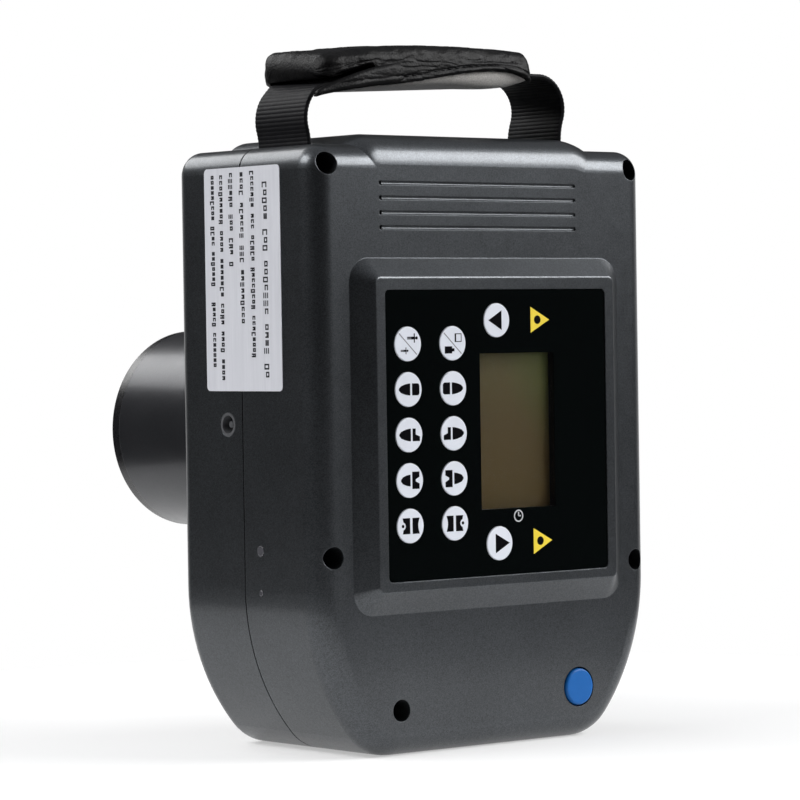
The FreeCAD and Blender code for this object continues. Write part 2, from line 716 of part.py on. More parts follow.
def status_lights():
    """Charging light and battery light, two short rods with domed ends."""
    side = -HALF_WIDTH
    lights = []
    for z, radius in LIGHTS:
        rod = rod_x(LIGHT_Y, z, radius, side - LIGHT_PROUD, side + LIGHT_DEPTH)
        rim = [e for e in rod.Edges if e.Closed and all(v.X < side for v in e.Vertexes)]
        lights.append(rod.makeFillet(LIGHT_PROUD * 0.9, rim))
    return lights


# Cone


def flange_screws():
    reach = FLANGE_SCREW_R / math.sqrt(2)
    return [(sx * reach, AXIS_Z + sz * reach) for sx in (-1, 1) for sz in (-1, 1)]


def cone_tube():
    """Plain tube, with a collar where it passes through the wall."""
    ring_end = CONE_TIP_Y - TIP_RING
    tube = rod_y(0, AXIS_Z, CONE_R, FLANGE_Y, ring_end)
    collar = rod_y(0, AXIS_Z, CONE_COLLAR_R, PAD_RING_Y, BACK_Y)
    return tube.fuse(collar).removeSplitter().cut(rod_y(0, AXIS_Z, CONE_BORE_R, FLANGE_Y - 1, ring_end + 1))


def cone_flange():
    """Flat ring inside the casing that the cone is glued into."""
    ring = ring_y(0, AXIS_Z, FLANGE_R, CONE_R + FLANGE_FIT, FLANGE_Y, PAD_RING_Y)
    return cut_all(ring, [rod_y(x, z, M3_HOLE_R, FLANGE_Y - 1, PAD_RING_Y + 1) for x, z in flange_screws()])


def cone_liner():
    return ring_y(0, AXIS_Z, LINER_R, BEAM_R, FLANGE_Y + DIAPHRAGM_THICK, CONE_TIP_Y - TIP_RING)


def cone_tip_ring():
    """Dark end ring with rounded rims."""
    ring = ring_y(0, AXIS_Z, TIP_RING_R, BEAM_R, CONE_TIP_Y - TIP_RING, CONE_TIP_Y)
    return ring.makeFillet(TIP_RING_EDGE_R, edges_at_y(ring, CONE_TIP_Y))


def lead_diaphragm():
    return ring_y(0, AXIS_Z, LINER_R, APERTURE_R, FLANGE_Y, FLANGE_Y + DIAPHRAGM_THICK)


# Oil tank and x-ray tube


def tank_ears():
    return [(sx * EAR_X, AXIS_Z + sz * EAR_Z) for sx in (-1, 1) for sz in (-1, 1)]


def lid_screw_places():
    return [(sx * LID_SCREW[0], AXIS_Z + sz * LID_SCREW[1]) for sx in (-1, 1) for sz in (-1, 1)]


def tank_body():
    front = TANK_FRONT_Y + TANK_WALL
    z0, z1 = AXIS_Z - TANK_HALF_Z, AXIS_Z + TANK_HALF_Z
    w = TANK_WALL
    hollow = box(-TANK_X + w, TANK_X - w, front - 1, TANK_BACK_Y - w, z0 + w, z1 - w)
    parts = [box(-TANK_X, TANK_X, front, TANK_BACK_Y, z0, z1).cut(hollow)]
    reach, half_z = EAR_HALF
    for x, z in tank_ears():
        x0, x1 = sorted((math.copysign(TANK_X - 1, x), math.copysign(EAR_X + reach, x)))
        parts.append(box(x0, x1, TANK_BACK_Y - EAR_THICK, TANK_BACK_Y, z - half_z, z + half_z))
    parts += [rod_y(x, z, LID_POST_R, front, TANK_BACK_Y - 1) for x, z in lid_screw_places()]
    cuts = [rod_y(x, z, M3_HOLE_R, TANK_BACK_Y - EAR_THICK - 1, TANK_BACK_Y + 1) for x, z in tank_ears()]
    cuts += [rod_y(x, z, M3_PILOT_R, front - 1, front + LID_SCREW_LENGTH) for x, z in lid_screw_places()]
    cuts.append(rod_y(0, AXIS_Z, PORT_R, TANK_BACK_Y - w - 1, TANK_BACK_Y + 1))
    return cut_all(fuse_all(parts), cuts)


def tank_lid():
    z0, z1 = AXIS_Z - TANK_HALF_Z, AXIS_Z + TANK_HALF_Z
    front, back = TANK_FRONT_Y, TANK_FRONT_Y + TANK_WALL
    cuts = []
    for x, z in lid_screw_places():
        cuts.append(rod_y(x, z, M3_HOLE_R, front - 1, back + 1))
        cuts.append(rod_y(x, z, M3_HEAD_R + 0.2, front - 1, front + INNER_HEAD_H))
    return cut_all(box(-TANK_X, TANK_X, front, back, z0, z1), cuts)


def inner_screws():
    """Screws of the tank's lid, of its ears and of the cone's flange."""
    places = [(x, z, TANK_FRONT_Y + INNER_HEAD_H, LID_SCREW_LENGTH) for x, z in lid_screw_places()]
    places += [(x, z, TANK_BACK_Y - EAR_THICK, LID_SCREW_LENGTH) for x, z in tank_ears()]
    places += [(x, z, FLANGE_Y, FLANGE_SCREW_LENGTH) for x, z in flange_screws()]
    return [screw_y(x, z, head, reach, M3_R, M3_HEAD_R, INNER_HEAD_H) for x, z, head, reach in places]


def beam_filter():
    return rod_y(0, AXIS_Z, FILTER_R, TANK_BACK_Y, TANK_BACK_Y + FILTER_THICK)


def tube_glass():
    """Glass envelope with an opening in each end for the electrodes' stems."""
    half = TUBE_LENGTH / 2

    def capsule(inset):
        rod = rod_x(TUBE_Y, AXIS_Z, TUBE_R - inset, inset - half, half - inset)
        return rod.makeFillet(TUBE_END_R - inset, [e for e in rod.Edges if e.Closed and e.Length > TUBE_R])

    holes = [rod_x(TUBE_Y, AXIS_Z, ANODE_STEM_R + STEM_FIT, 0, half + 1),
             rod_x(TUBE_Y, AXIS_Z, CATHODE_STEM_R + STEM_FIT, -half - 1, 0)]
    return cut_all(capsule(0).cut(capsule(GLASS)), holes)


def tube_anode():
    """Copper anode with a slanted face, which sends the beam towards +Y."""
    x0, x1 = ANODE_FACE
    target = rod_x(TUBE_Y, AXIS_Z, ANODE_R, x0, x1)
    reach = 2 * ANODE_R
    wedge = box(-reach, 0, -reach, reach, -reach, reach)
    wedge.rotate(vec(0, 0, 0), vec(0, 0, 1), -ANODE_ANGLE)
    wedge.translate(vec(0, TUBE_Y, AXIS_Z))
    stem = rod_x(TUBE_Y, AXIS_Z, ANODE_STEM_R, x1 - 2, TUBE_LENGTH / 2 + 2)
    return target.cut(wedge).fuse(stem).removeSplitter()


def tube_cathode():
    x0, x1 = CATHODE_FACE
    cup = rod_x(TUBE_Y, AXIS_Z, CUP_R, x0, x1).cut(rod_x(TUBE_Y, AXIS_Z, CUP_HOLE_R, x1 - 3, x1 + 1))
    return cup.fuse(rod_x(TUBE_Y, AXIS_Z, CATHODE_STEM_R, -TUBE_LENGTH / 2 - 2, x0 + 1)).removeSplitter()


def tube_supports():
    """Two insulating saddles between the tube and the tank's back wall."""
    saddles = []
    for x in SADDLE_X:
        end = x + SADDLE_THICK
        saddle = box(x, end, 0, TANK_BACK_Y - TANK_WALL, AXIS_Z - SADDLE_HALF_Z, AXIS_Z + SADDLE_HALF_Z)
        saddles.append(saddle.cut(rod_x(TUBE_Y, AXIS_Z, TUBE_R + 0.05, x - 1, end + 1)))
    return saddles


def transformer_core():
    """Iron core with two windows, one each side of its middle limb."""
    half, z0, z1 = CORE
    core = box(-half, half, 0, CORE_DEPTH, z0, z1)
    low, high = CORE_LIMB, half - CORE_SIDE
    windows = [box(x0, x1, -1, CORE_DEPTH + 1, z0 + CORE_YOKE, z1 - CORE_YOKE)
               for x0, x1 in ((low, high), (-high, -low))]
    return cut_all(core, windows)


def transformer_winding():
    """Winding round the core's middle limb."""
    _, z0, z1 = CORE
    low, high = z0 + CORE_YOKE + 0.3, z1 - CORE_YOKE - 0.3
    outer_x = CORE_LIMB + WINDING
    inner_x = CORE_LIMB + 0.2
    outer = box(-outer_x, outer_x, -WINDING_DEPTH, CORE_DEPTH + WINDING_DEPTH, low, high)
    return outer.cut(box(-inner_x, inner_x, -0.3, CORE_DEPTH + 0.3, low - 1, high + 1))


def multiplier_board():
    return box(*MULTIPLIER, MULTIPLIER_Z, MULTIPLIER_Z + BOARD_THICK)


def multiplier_parts():
    """Capacitors and diodes of the high-voltage multiplier."""
    parts = []
    for i in range(STAGES):
        x = (i - (STAGES - 1) / 2) * MULTIPLIER_PITCH
        for radius, height, y in (HV_CAPACITOR, HV_DIODE):
            parts.append(Part.makeCylinder(radius, height, vec(x, y, MULTIPLIER_Z + BOARD_THICK)))
    return parts


# Battery


def battery_cells():
    x0 = BATTERY_X - CELL_LENGTH / 2
    return [rod_x(y, z, CELL_R, x0, x0 + CELL_LENGTH) for y in CELL_Y for z in CELL_Z]


def tray_inside():
    """Inner faces of the tray along Y."""
    return CELL_Y[0] - CELL_R - CELL_ROOM, CELL_Y[1] + CELL_R + CELL_ROOM


def battery_tray():
    """Open tray that the four cells lie in."""
    x0, x1 = BATTERY_X - CELL_LENGTH / 2 - CELL_ROOM, BATTERY_X + CELL_LENGTH / 2 + CELL_ROOM
    y0, y1 = tray_inside()
    w = TRAY_WALL
    outer = box(x0 - w, x1 + w, y0 - w, y1 + w, TRAY_FLOOR_Z - w, CELL_Z[1])
    return outer.cut(box(x0, x1, y0, y1, TRAY_FLOOR_Z, CELL_Z[1] + 1))


def battery_clamp():
    """Steel band over the cells that holds them in the tray."""
    y0, y1 = tray_inside()[0] - TRAY_WALL, tray_inside()[1] + TRAY_WALL
    top = CELL_Z[1] + CELL_R + CELL_ROOM
    x0, x1, t = BATTERY_X - CLAMP_HALF, BATTERY_X + CLAMP_HALF, CLAMP_THICK
    outer = box(x0, x1, y0 - t, y1 + t, CLAMP_LOW_Z, top + t)
    return outer.cut(box(x0 - 1, x1 + 1, y0, y1, CLAMP_LOW_Z - 1, top))


def protection_board():
    top = CELL_Z[1] + CELL_R + CELL_ROOM
    return box(*PROTECTION_X, *CELL_Y, top, top + BOARD_THICK)


# Strap handle


def strip(start, heading, steps, thick, y0, y1):
    """Flat strip whose middle line is drawn step by step in a plane of constant Y.

    A step is ("go", length) or ("turn", radius, degrees), where a positive turn is to the left.
    Returns the solid, and where the middle line ends.
    """
    left, right = [], []
    x, z = start
    half = thick / 2

    def at(px, pz, angle, distance):
        a = math.radians(angle)
        return (px + distance * math.cos(a), pz + distance * math.sin(a))

    for step in steps:
        normal = heading + 90
        if step[0] == "go":
            nx, nz = at(x, z, heading, step[1])
            for side, rail in ((half, left), (-half, right)):
                a = at(x, z, normal, side)
                b = at(nx, nz, normal, side)
                rail.append(Part.makeLine(vec(a[0], y0, a[1]), vec(b[0], y0, b[1])))
            x, z = nx, nz
        else:
            radius, turn = step[1], step[2]
            way = 1 if turn > 0 else -1
            cx, cz = at(x, z, normal, way * radius)
            begin = heading - 90 * way
            for side, rail in ((half, left), (-half, right)):
                rail.append(arc(cx, cz, radius - way * side, begin, begin + turn, y0))
            x, z = at(cx, cz, begin + turn, radius)
            heading += turn

    def ends(rail):
        return rail[0].valueAt(rail[0].FirstParameter), rail[-1].valueAt(rail[-1].LastParameter)

    caps = [Part.makeLine(a, b) for a, b in zip(ends(left), ends(right))]
    wire = Part.Wire(Part.__sortEdges__(left + right + caps))
    return Part.Face(wire).extrude(vec(0, y1 - y0, 0)), (x, z)


def leg_steps(side, leg, slope):
    """Steps of one leg, up out of its slot, outwards and then over into the grip."""
    lean = leg["lean"]
    over = lean + 90 + side * slope
    rise = SHOULDER_Z - LOOP_Z - LOOP_RISE + leg["rise"]
    return [
        ("go", rise),
        ("turn", leg["out_r"], -side * lean),
        ("turn", leg["in_r"], side * over),
    ]


def leg_top(side, leg, slope):
    """Where a leg's middle line runs into the grip."""
    return strip((leg_x(side), LOOP_Z + LOOP_RISE), 90, leg_steps(side, leg, slope), WEB, *STRAP_Y)[1]


def grip_slope():
    """Slope of the grip in degrees, found from the two legs' ends."""
    slope = 0.0
    for _ in range(6):
        (x0, z0), (x1, z1) = leg_top(-1, LEG_LEFT, slope), leg_top(1, LEG_RIGHT, slope)
        slope = math.degrees(math.atan2(z1 - z0, x1 - x0))
    return slope


def strap_leg(side, leg, slope):
    """Webbing from the loop round its pin to the grip."""
    x = leg_x(side)
    run, _ = strip((x, LOOP_Z + LOOP_RISE), 90, leg_steps(side, leg, slope), WEB, *STRAP_Y)
    inner = STRAP_PIN_R + LOOP_FIT
    loop = rod_y(x, LOOP_Z, inner + WEB, *STRAP_Y)
    return fuse_all([run, loop]).cut(rod_y(x, LOOP_Z, inner, STRAP_Y[0] - 1, STRAP_Y[1] + 1))


def strap_pins():
    return [rod_y(leg_x(side), LOOP_Z, STRAP_PIN_R, *STRAP_PIN_ENDS) for side in (-1, 1)]


def grip_webbing(slope):
    """The strap's run inside the grip."""
    (x0, z0), (x1, z1) = leg_top(-1, LEG_LEFT, slope), leg_top(1, LEG_RIGHT, slope)
    length = math.hypot(x1 - x0, z1 - z0) - 2 * WEB_END_GAP
    a = math.radians(slope)
    start = (x0 + WEB_END_GAP * math.cos(a), z0 + WEB_END_GAP * math.sin(a))
    return strip(start, slope, [("go", length)], WEB, *STRAP_Y)[0]


def handle_grip(slope):
    """Padded sleeve that wraps the webbing, open underneath at its left end."""
    x0, z0 = leg_top(-1, LEG_LEFT, slope)
    low, high = GRIP_ENDS
    level = z0
    top = level + GRIP_ABOVE
    solid = box(low, high, GRIP_Y[0], GRIP_Y[1], level - GRIP_BELOW, top)
    flap = level + GRIP_FLAP_ABOVE
    solid = solid.cut(box(low - 1, GRIP_FLAP_X, GRIP_Y[0] - 1, GRIP_Y[1] + 1, level - FAR, flap))
    top_edges = [e for e in solid.Edges if all(abs(v.Z - top) < 1e-6 for v in e.Vertexes)]
    solid = solid.makeFillet(GRIP_EDGE_R, top_edges)
    y0, y1 = STRAP_Y[0] - GRIP_SLOT_FIT[0], STRAP_Y[1] + GRIP_SLOT_FIT[0]
    half = WEB / 2 + GRIP_SLOT_FIT[1]
    solid = solid.cut(box(low - 1, high + 1, y0, y1, level - half, level + half))
    solid.rotate(vec(x0, 0, z0), vec(0, 1, 0), -slope)
    return solid


def build():
    """Every node's shape by name."""
    outside, inside = casing(0), casing(WALL)
    slope = grip_slope()
    switch_holes = [(x, BUTTON_Z) for x in SWITCH_POSTS]
    nodes = {
        "front_cover": front_cover(outside, inside),
        "rear_cover": rear_cover(outside, inside),
        "seam_gasket": seam_gasket(),
        "cover_screws": cover_screws(),
        "panel_overlay": panel_overlay(),
        "lcd_window": lcd_window(),
        "lcd_panel": lcd_panel(),
        "lcd_board": lcd_board(),
        "key_switches": key_switches(),
        "control_board": board(CONTROL, CONTROL_Y, BOARD_HOLES + SPACER_HOLES, M2_PILOT_R),
        "control_chips": control_chips(),
        "board_screws": board_screws(),
        "board_spacers": board_spacers() + lcd_spacers(),
        "power_board": board(POWER, POWER_Y, SPACER_HOLES, M2_PILOT_R),
        "power_parts": power_parts(),
        "buzzer": buzzer(),
        "exposure_button": exposure_button(),
        "exposure_switch": exposure_switch(),
        "switch_board": board(SWITCH_BOARD, SWITCH_BOARD_Y, switch_holes, M2_PILOT_R),
        "rating_label": rating_label(),
        "dc_jack": dc_jack(),
        "status_lights": status_lights(),
        "cone_tube": cone_tube(),
        "cone_flange": cone_flange(),
        "cone_liner": cone_liner(),
        "cone_tip_ring": cone_tip_ring(),
        "lead_diaphragm": lead_diaphragm(),
        "tank_body": tank_body(),
        "tank_lid": tank_lid(),
        "inner_screws": inner_screws(),
        "beam_filter": beam_filter(),
        "tube_glass": tube_glass(),
        "tube_anode": tube_anode(),
        "tube_cathode": tube_cathode(),
        "tube_supports": tube_supports(),
        "transformer_core": transformer_core(),
        "transformer_winding": transformer_winding(),
        "multiplier_board": multiplier_board(),
        "multiplier_parts": multiplier_parts(),
        "battery_cells": battery_cells(),
        "battery_tray": battery_tray(),
        "battery_clamp": battery_clamp(),
        "protection_board": protection_board(),
        "strap_leg_left": strap_leg(-1, LEG_LEFT, slope),
        "strap_leg_right": strap_leg(1, LEG_RIGHT, slope),
        "strap_pins": strap_pins(),
        "grip_webbing": grip_webbing(slope),
        "handle_grip": handle_grip(slope),
    }
    for name, x, z in key_places():
        nodes[name] = key(x, z)
    return nodes


os.makedirs("parts", exist_ok=True)
for node, made in build().items():
    whole = Part.makeCompound(made) if isinstance(made, list) else made
    whole.exportStep(f"parts/{node}.step")
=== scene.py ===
import json
import math
import random

import bmesh
import bpy
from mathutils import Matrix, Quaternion, Vector, noise


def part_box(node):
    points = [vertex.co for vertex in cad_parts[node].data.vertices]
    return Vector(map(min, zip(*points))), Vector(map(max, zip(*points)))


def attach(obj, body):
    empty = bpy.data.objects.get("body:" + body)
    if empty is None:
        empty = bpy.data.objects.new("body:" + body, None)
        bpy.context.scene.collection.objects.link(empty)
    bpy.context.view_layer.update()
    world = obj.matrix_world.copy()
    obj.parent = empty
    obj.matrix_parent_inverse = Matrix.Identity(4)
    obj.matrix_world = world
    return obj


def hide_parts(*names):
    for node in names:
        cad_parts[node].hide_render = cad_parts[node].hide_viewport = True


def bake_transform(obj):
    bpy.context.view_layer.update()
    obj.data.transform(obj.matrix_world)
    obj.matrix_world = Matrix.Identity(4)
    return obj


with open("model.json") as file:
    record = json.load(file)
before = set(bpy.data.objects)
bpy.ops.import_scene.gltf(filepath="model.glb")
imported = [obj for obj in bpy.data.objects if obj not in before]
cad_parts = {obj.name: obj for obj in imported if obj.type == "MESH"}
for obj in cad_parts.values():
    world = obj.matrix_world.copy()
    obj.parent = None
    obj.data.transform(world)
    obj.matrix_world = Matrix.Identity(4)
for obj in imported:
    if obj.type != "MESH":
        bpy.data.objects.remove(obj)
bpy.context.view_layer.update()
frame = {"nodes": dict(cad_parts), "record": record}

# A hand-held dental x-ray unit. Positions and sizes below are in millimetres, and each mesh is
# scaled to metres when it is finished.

MM = 0.001
scene = bpy.context.scene
NODES = frame["nodes"]


def box_mm(node):
    """Lowest and highest corners of a CAD node, in millimetres."""
    low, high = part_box(node)
    return low / MM, high / MM


def smooth(value, low, high):
    """0 below low, 1 above high, and an even curve between them."""
    t = min(max((value - low) / (high - low), 0.0), 1.0)
    return t * t * (3 - 2 * t)


# ---------------------------------------------------------------- camera, light and floor

CAMERA_AZIMUTH = -39.70
CAMERA_ELEVATION = 1.04
CAMERA_ROLL = -0.87
CAMERA_DISTANCE = 1.130
CAMERA_TARGET = Vector((-11.2, -5.2, 106.95)) * MM
CAMERA_LENS = 163.1
SENSOR_WIDTH = 36.0
FLOOR_RADIUS = 0.30
FLOOR_SUNK = 0.05
FLOOR_GREY = 0.52
FLOOR_GLOW = 0.44


def direction(azimuth, elevation):
    """Unit vector from the object towards a place, with azimuth 0 in front of the panel."""
    az, el = math.radians(azimuth), math.radians(elevation)
    return Vector((math.sin(az) * math.cos(el), -math.cos(az) * math.cos(el), math.sin(el)))


def make_camera():
    data = bpy.data.cameras.new("camera")
    data.lens = CAMERA_LENS
    data.sensor_width = SENSOR_WIDTH
    camera = bpy.data.objects.new("camera", data)
    scene.collection.objects.link(camera)
    back = direction(CAMERA_AZIMUTH, CAMERA_ELEVATION)
    camera.location = CAMERA_TARGET + back * CAMERA_DISTANCE
    camera.rotation_mode = "QUATERNION"
    roll = Quaternion((0, 0, 1), math.radians(CAMERA_ROLL))
    camera.rotation_quaternion = (-back).to_track_quat("-Z", "Y") @ roll
    scene.camera = camera


def area_light(name, azimuth, elevation, distance, size, power, colour=(1, 1, 1)):
    """Soft rectangular light that faces the object's middle."""
    data = bpy.data.lights.new(name, "AREA")
    data.shape = "RECTANGLE"
    data.size, data.size_y = size
    data.energy = power
    data.color = colour
    light = bpy.data.objects.new(name, data)
    scene.collection.objects.link(light)
    toward = direction(azimuth, elevation)
    light.location = Vector((0, 0, 0.1)) + toward * distance
    light.rotation_mode = "QUATERNION"
    light.rotation_quaternion = (-toward).to_track_quat("-Z", "Y")
    return light


BACKDROP_AZIMUTH = 140.3
BACKDROP_LEVEL = 0.75


def make_world():
    """White where the camera looks past the object. Elsewhere a dim studio with a low bright backdrop."""
    world = bpy.data.worlds.new("studio")
    world.use_nodes = True
    scene.world = world
    tree = world.node_tree
    tree.nodes.clear()
    new, link = tree.nodes.new, tree.links.new
    out, mix, path = new("ShaderNodeOutputWorld"), new("ShaderNodeMixShader"), new("ShaderNodeLightPath")
    white, room, backdrop = (new("ShaderNodeBackground") for _ in range(3))
    coords, split, ramp = new("ShaderNodeTexCoord"), new("ShaderNodeSeparateXYZ"), new("ShaderNodeValToRGB")
    both, facing = new("ShaderNodeAddShader"), new("ShaderNodeVectorMath")
    around, low = new("ShaderNodeMapRange"), new("ShaderNodeMapRange")
    glow, power = new("ShaderNodeMath"), new("ShaderNodeMath")
    stops = ramp.color_ramp.elements
    stops[0].position, stops[0].color = 0.0, (0.016, 0.016, 0.018, 1)
    stops[1].position, stops[1].color = 1.0, (0.40, 0.41, 0.43, 1)
    for place, grey in ((0.15, 0.022), (0.5, 0.07)):
        stop = stops.new(place)
        stop.color = (grey, grey, grey * 1.05, 1)
    link(coords.outputs["Generated"], split.inputs[0])
    link(split.outputs["Z"], ramp.inputs["Fac"])
    link(ramp.outputs["Color"], room.inputs["Color"])
    facing.operation = "DOT_PRODUCT"
    facing.inputs[1].default_value = direction(BACKDROP_AZIMUTH, 0)
    link(coords.outputs["Generated"], facing.inputs[0])
    link(facing.outputs["Value"], around.inputs["Value"])
    link(split.outputs["Z"], low.inputs["Value"])
    for spread, (start, end) in ((around, (0.45, 0.85)), (low, (0.20, 0.08))):
        spread.inputs["From Min"].default_value = start
        spread.inputs["From Max"].default_value = end
    glow.operation = power.operation = "MULTIPLY"
    link(around.outputs["Result"], glow.inputs[0])
    link(low.outputs["Result"], glow.inputs[1])
    link(glow.outputs[0], power.inputs[0])
    power.inputs[1].default_value = BACKDROP_LEVEL
    link(power.outputs[0], backdrop.inputs["Strength"])
    for light in (white, backdrop):
        light.inputs["Color"].default_value = (1, 1, 1, 1)
    link(room.outputs[0], both.inputs[0])
    link(backdrop.outputs[0], both.inputs[1])
    link(path.outputs["Is Camera Ray"], mix.inputs["Fac"])
    link(both.outputs[0], mix.inputs[1])
    link(white.outputs[0], mix.inputs[2])
    link(mix.outputs[0], out.inputs["Surface"])


def make_floor():
    """Round white table top under the unit."""
    mesh = bpy.data.meshes.new("floor")
    maker = bmesh.new()
    bmesh.ops.create_circle(maker, cap_ends=True, segments=128, radius=FLOOR_RADIUS)
    maker.to_mesh(mesh)
    maker.free()
    floor = bpy.data.objects.new("floor", mesh)
    scene.collection.objects.link(floor)
    floor.location.z = -FLOOR_SUNK * MM
    paint = bpy.data.materials.new("floor_paint")
    paint.use_nodes = True
    shader = paint.node_tree.nodes["Principled BSDF"]
    shader.inputs["Base Color"].default_value = (FLOOR_GREY, FLOOR_GREY, FLOOR_GREY, 1)
    shader.inputs["Roughness"].default_value = 0.75
    shader.inputs["Emission Color"].default_value = (1, 1, 1, 1)
    shader.inputs["Emission Strength"].default_value = FLOOR_GLOW
    mesh.materials.append(paint)


scene.view_settings.view_transform = "Standard"
make_camera()
make_world()
make_floor()
area_light("front_softbox", 48, 30, 1.2, (0.95, 0.58), 17.0)
area_light("left_softbox", -108, 40, 1.1, (0.7, 0.5), 9.6)
area_light("back_softbox", -166, 37, 1.1, (0.6, 0.45), 3.8)


# ---------------------------------------------------------------- materials


class Finish:
    """A node material that is built up from small steps. Scales are in millimetres."""

    def __init__(self, name, **constants):
        self.material = bpy.data.materials.new(name)
        self.material.use_nodes = True
        self.tree = self.material.node_tree
        self.shader = self.tree.nodes["Principled BSDF"]
        for socket, value in constants.items():
            self.shader.inputs[socket.replace("_", " ")].default_value = value
        self.coords = self.tree.nodes.new("ShaderNodeTexCoord")
        self.bump_end = None

    def node(self, kind, **settings):
        made = self.tree.nodes.new(kind)
        for key, value in settings.items():
            setattr(made, key, value)
        return made

    def link(self, source, target):
        self.tree.links.new(source, target)

    def place(self, stretch=(1, 1, 1)):
        """Object coordinates, stretched so that a pattern is longer along one axis."""
        mapping = self.node("ShaderNodeMapping")
        mapping.inputs["Scale"].default_value = stretch
        self.link(self.coords.outputs["Object"], mapping.inputs["Vector"])
        return mapping.outputs["Vector"]

    def cloud(self, size, detail=3.0, stretch=(1, 1, 1)):
        """Noise whose blotches are about size millimetres wide."""
        made = self.node("ShaderNodeTexNoise")
        made.inputs["Scale"].default_value = 1 / (size * MM)
        made.inputs["Detail"].default_value = detail
        self.link(self.place(stretch), made.inputs["Vector"])
        return made.outputs["Fac"]

    def cells(self, size, output="Distance", feature="F1", stretch=(1, 1, 1)):
        """Voronoi cells about size millimetres wide."""
        made = self.node("ShaderNodeTexVoronoi", feature=feature)
        made.inputs["Scale"].default_value = 1 / (size * MM)
        self.link(self.place(stretch), made.inputs["Vector"])
        return made.outputs[output]

    def lines(self, pitch, axis="X", kind="SIN"):
        """Even lines across one axis."""
        made = self.node("ShaderNodeTexWave", bands_direction=axis, wave_profile=kind)
        made.inputs["Scale"].default_value = math.pi / 10 / (pitch * MM)
        self.link(self.place(), made.inputs["Vector"])
        return made.outputs["Fac"]

    def ramp(self, source, stops):
        """Colours or greys along a value from 0 to 1."""
        made = self.node("ShaderNodeValToRGB")
        elements = made.color_ramp.elements
        while len(elements) < len(stops):
            elements.new(0.5)
        for element, (place, colour) in zip(elements, stops):
            element.position = place
            element.color = (*colour, 1) if isinstance(colour, tuple) else (colour, colour, colour, 1)
        self.link(source, made.inputs["Fac"])
        return made.outputs["Color"]

    def tints(self, source, colour, spread, low=0.3, high=0.7):
        """A colour that is darker by spread at a value's low end and lighter at its high end."""
        return self.ramp(source, [(low, tinted(colour, 1 - spread)), (high, tinted(colour, 1 + spread))])

    def span(self, source, low, high, start=0.0, end=1.0):
        """A value moved from one range into another."""
        made = self.node("ShaderNodeMapRange")
        for socket, value in zip(("From Min", "From Max", "To Min", "To Max"), (start, end, low, high)):
            made.inputs[socket].default_value = value
        self.link(source, made.inputs["Value"])
        return made.outputs["Result"]

    def maths(self, operation, first, second):
        made = self.node("ShaderNodeMath", operation=operation)
        for value, socket in ((first, made.inputs[0]), (second, made.inputs[1])):
            if isinstance(value, (int, float)):
                socket.default_value = value
            else:
                self.link(value, socket)
        return made.outputs[0]

    def mix(self, factor, first, second, blend="MIX"):
        """Two colours mixed by a value."""
        made = self.node("ShaderNodeMix", data_type="RGBA", blend_type=blend)
        for value, socket in ((factor, made.inputs[0]), (first, made.inputs[6]), (second, made.inputs[7])):
            if isinstance(value, tuple):
                socket.default_value = (*value, 1)
            elif isinstance(value, (int, float)):
                socket.default_value = value
            else:
                self.link(value, socket)
        return made.outputs[2]

    def axis(self, letter):
        """One object coordinate, in metres."""
        split = self.node("ShaderNodeSeparateXYZ")
        self.link(self.coords.outputs["Object"], split.inputs[0])
        return split.outputs[letter]

    def near(self, letter, low, high):
        """1 where a coordinate lies between two places given in millimetres."""
        made = self.node("ShaderNodeMath", operation="COMPARE")
        self.link(self.axis(letter), made.inputs[0])
        made.inputs[1].default_value = (low + high) / 2 * MM
        made.inputs[2].default_value = (high - low) / 2 * MM
        return made.outputs[0]

    def colour(self, source):
        self.link(source, self.shader.inputs["Base Color"])

    def roughness(self, source):
        self.link(source, self.shader.inputs["Roughness"])

    def soften_edges(self, radius):
        """Small round highlights along sharp edges, radius in millimetres."""
        made = self.node("ShaderNodeBevel", samples=4)
        made.inputs["Radius"].default_value = radius * MM
        self.bump_end = made.outputs["Normal"]
        self.link(self.bump_end, self.shader.inputs["Normal"])

    def bump(self, source, height, strength=1.0):
        """Relief that is height millimetres deep, added to what is there."""
        made = self.node("ShaderNodeBump")
        made.inputs["Strength"].default_value = strength
        made.inputs["Distance"].default_value = height * MM
        self.link(source, made.inputs["Height"])
        if self.bump_end:
            self.link(self.bump_end, made.inputs["Normal"])
        self.bump_end = made.outputs["Normal"]
        self.link(self.bump_end, self.shader.inputs["Normal"])


def tinted(colour, factor):
    return tuple(channel * factor for channel in colour)


FLAKE_SIZE = 0.28


def lacquer(name, colour, flake, metallic, roughness, coat, shade_box=None):
    """Metallic lacquer with fine flakes under a clear coat. The last argument, if given, is a box inside
    which the paint turns near-black as painted shade.
    """
    made = Finish(name, Metallic=metallic, Coat_Weight=coat, Coat_Roughness=0.14)
    made.soften_edges(0.45)
    grains = made.tints(made.cells(FLAKE_SIZE, "Color"), colour, flake, 0.0, 1.0)
    tone = made.ramp(made.cloud(24, 2), [(0.3, 0.94), (0.7, 1.05)])
    paint = made.mix(1.0, grains, tone, "MULTIPLY")
    # Painted shade: the paint turns near-black inside the given box, standing in for the shade deep in the
    # display recess.
    if shade_box:
        inside = 1.0
        for letter, (low, high) in zip("XYZ", shade_box):
            inside = made.maths("MULTIPLY", made.near(letter, low, high), inside)
        paint = made.mix(inside, paint, (0.004, 0.004, 0.004))
    made.colour(paint)
    made.roughness(made.span(made.cloud(5, 4), roughness - 0.035, roughness + 0.05))
    made.bump(made.cloud(1.1, 2), 0.012)
    made.bump(made.cells(FLAKE_SIZE), 0.004, 0.5)
    return made.material


def plastic(name, colour, roughness, spread=0.12, grain=0.35, relief=0.01, size=6.0, **constants):
    """Moulded plastic or paint with a faint mottle and a fine grain."""
    made = Finish(name, **constants)
    made.colour(made.tints(made.cloud(size), colour, spread))
    made.roughness(made.span(made.cloud(size / 3), roughness - 0.06, roughness + 0.06))
    made.bump(made.cloud(grain, 2), relief)
    return made.material


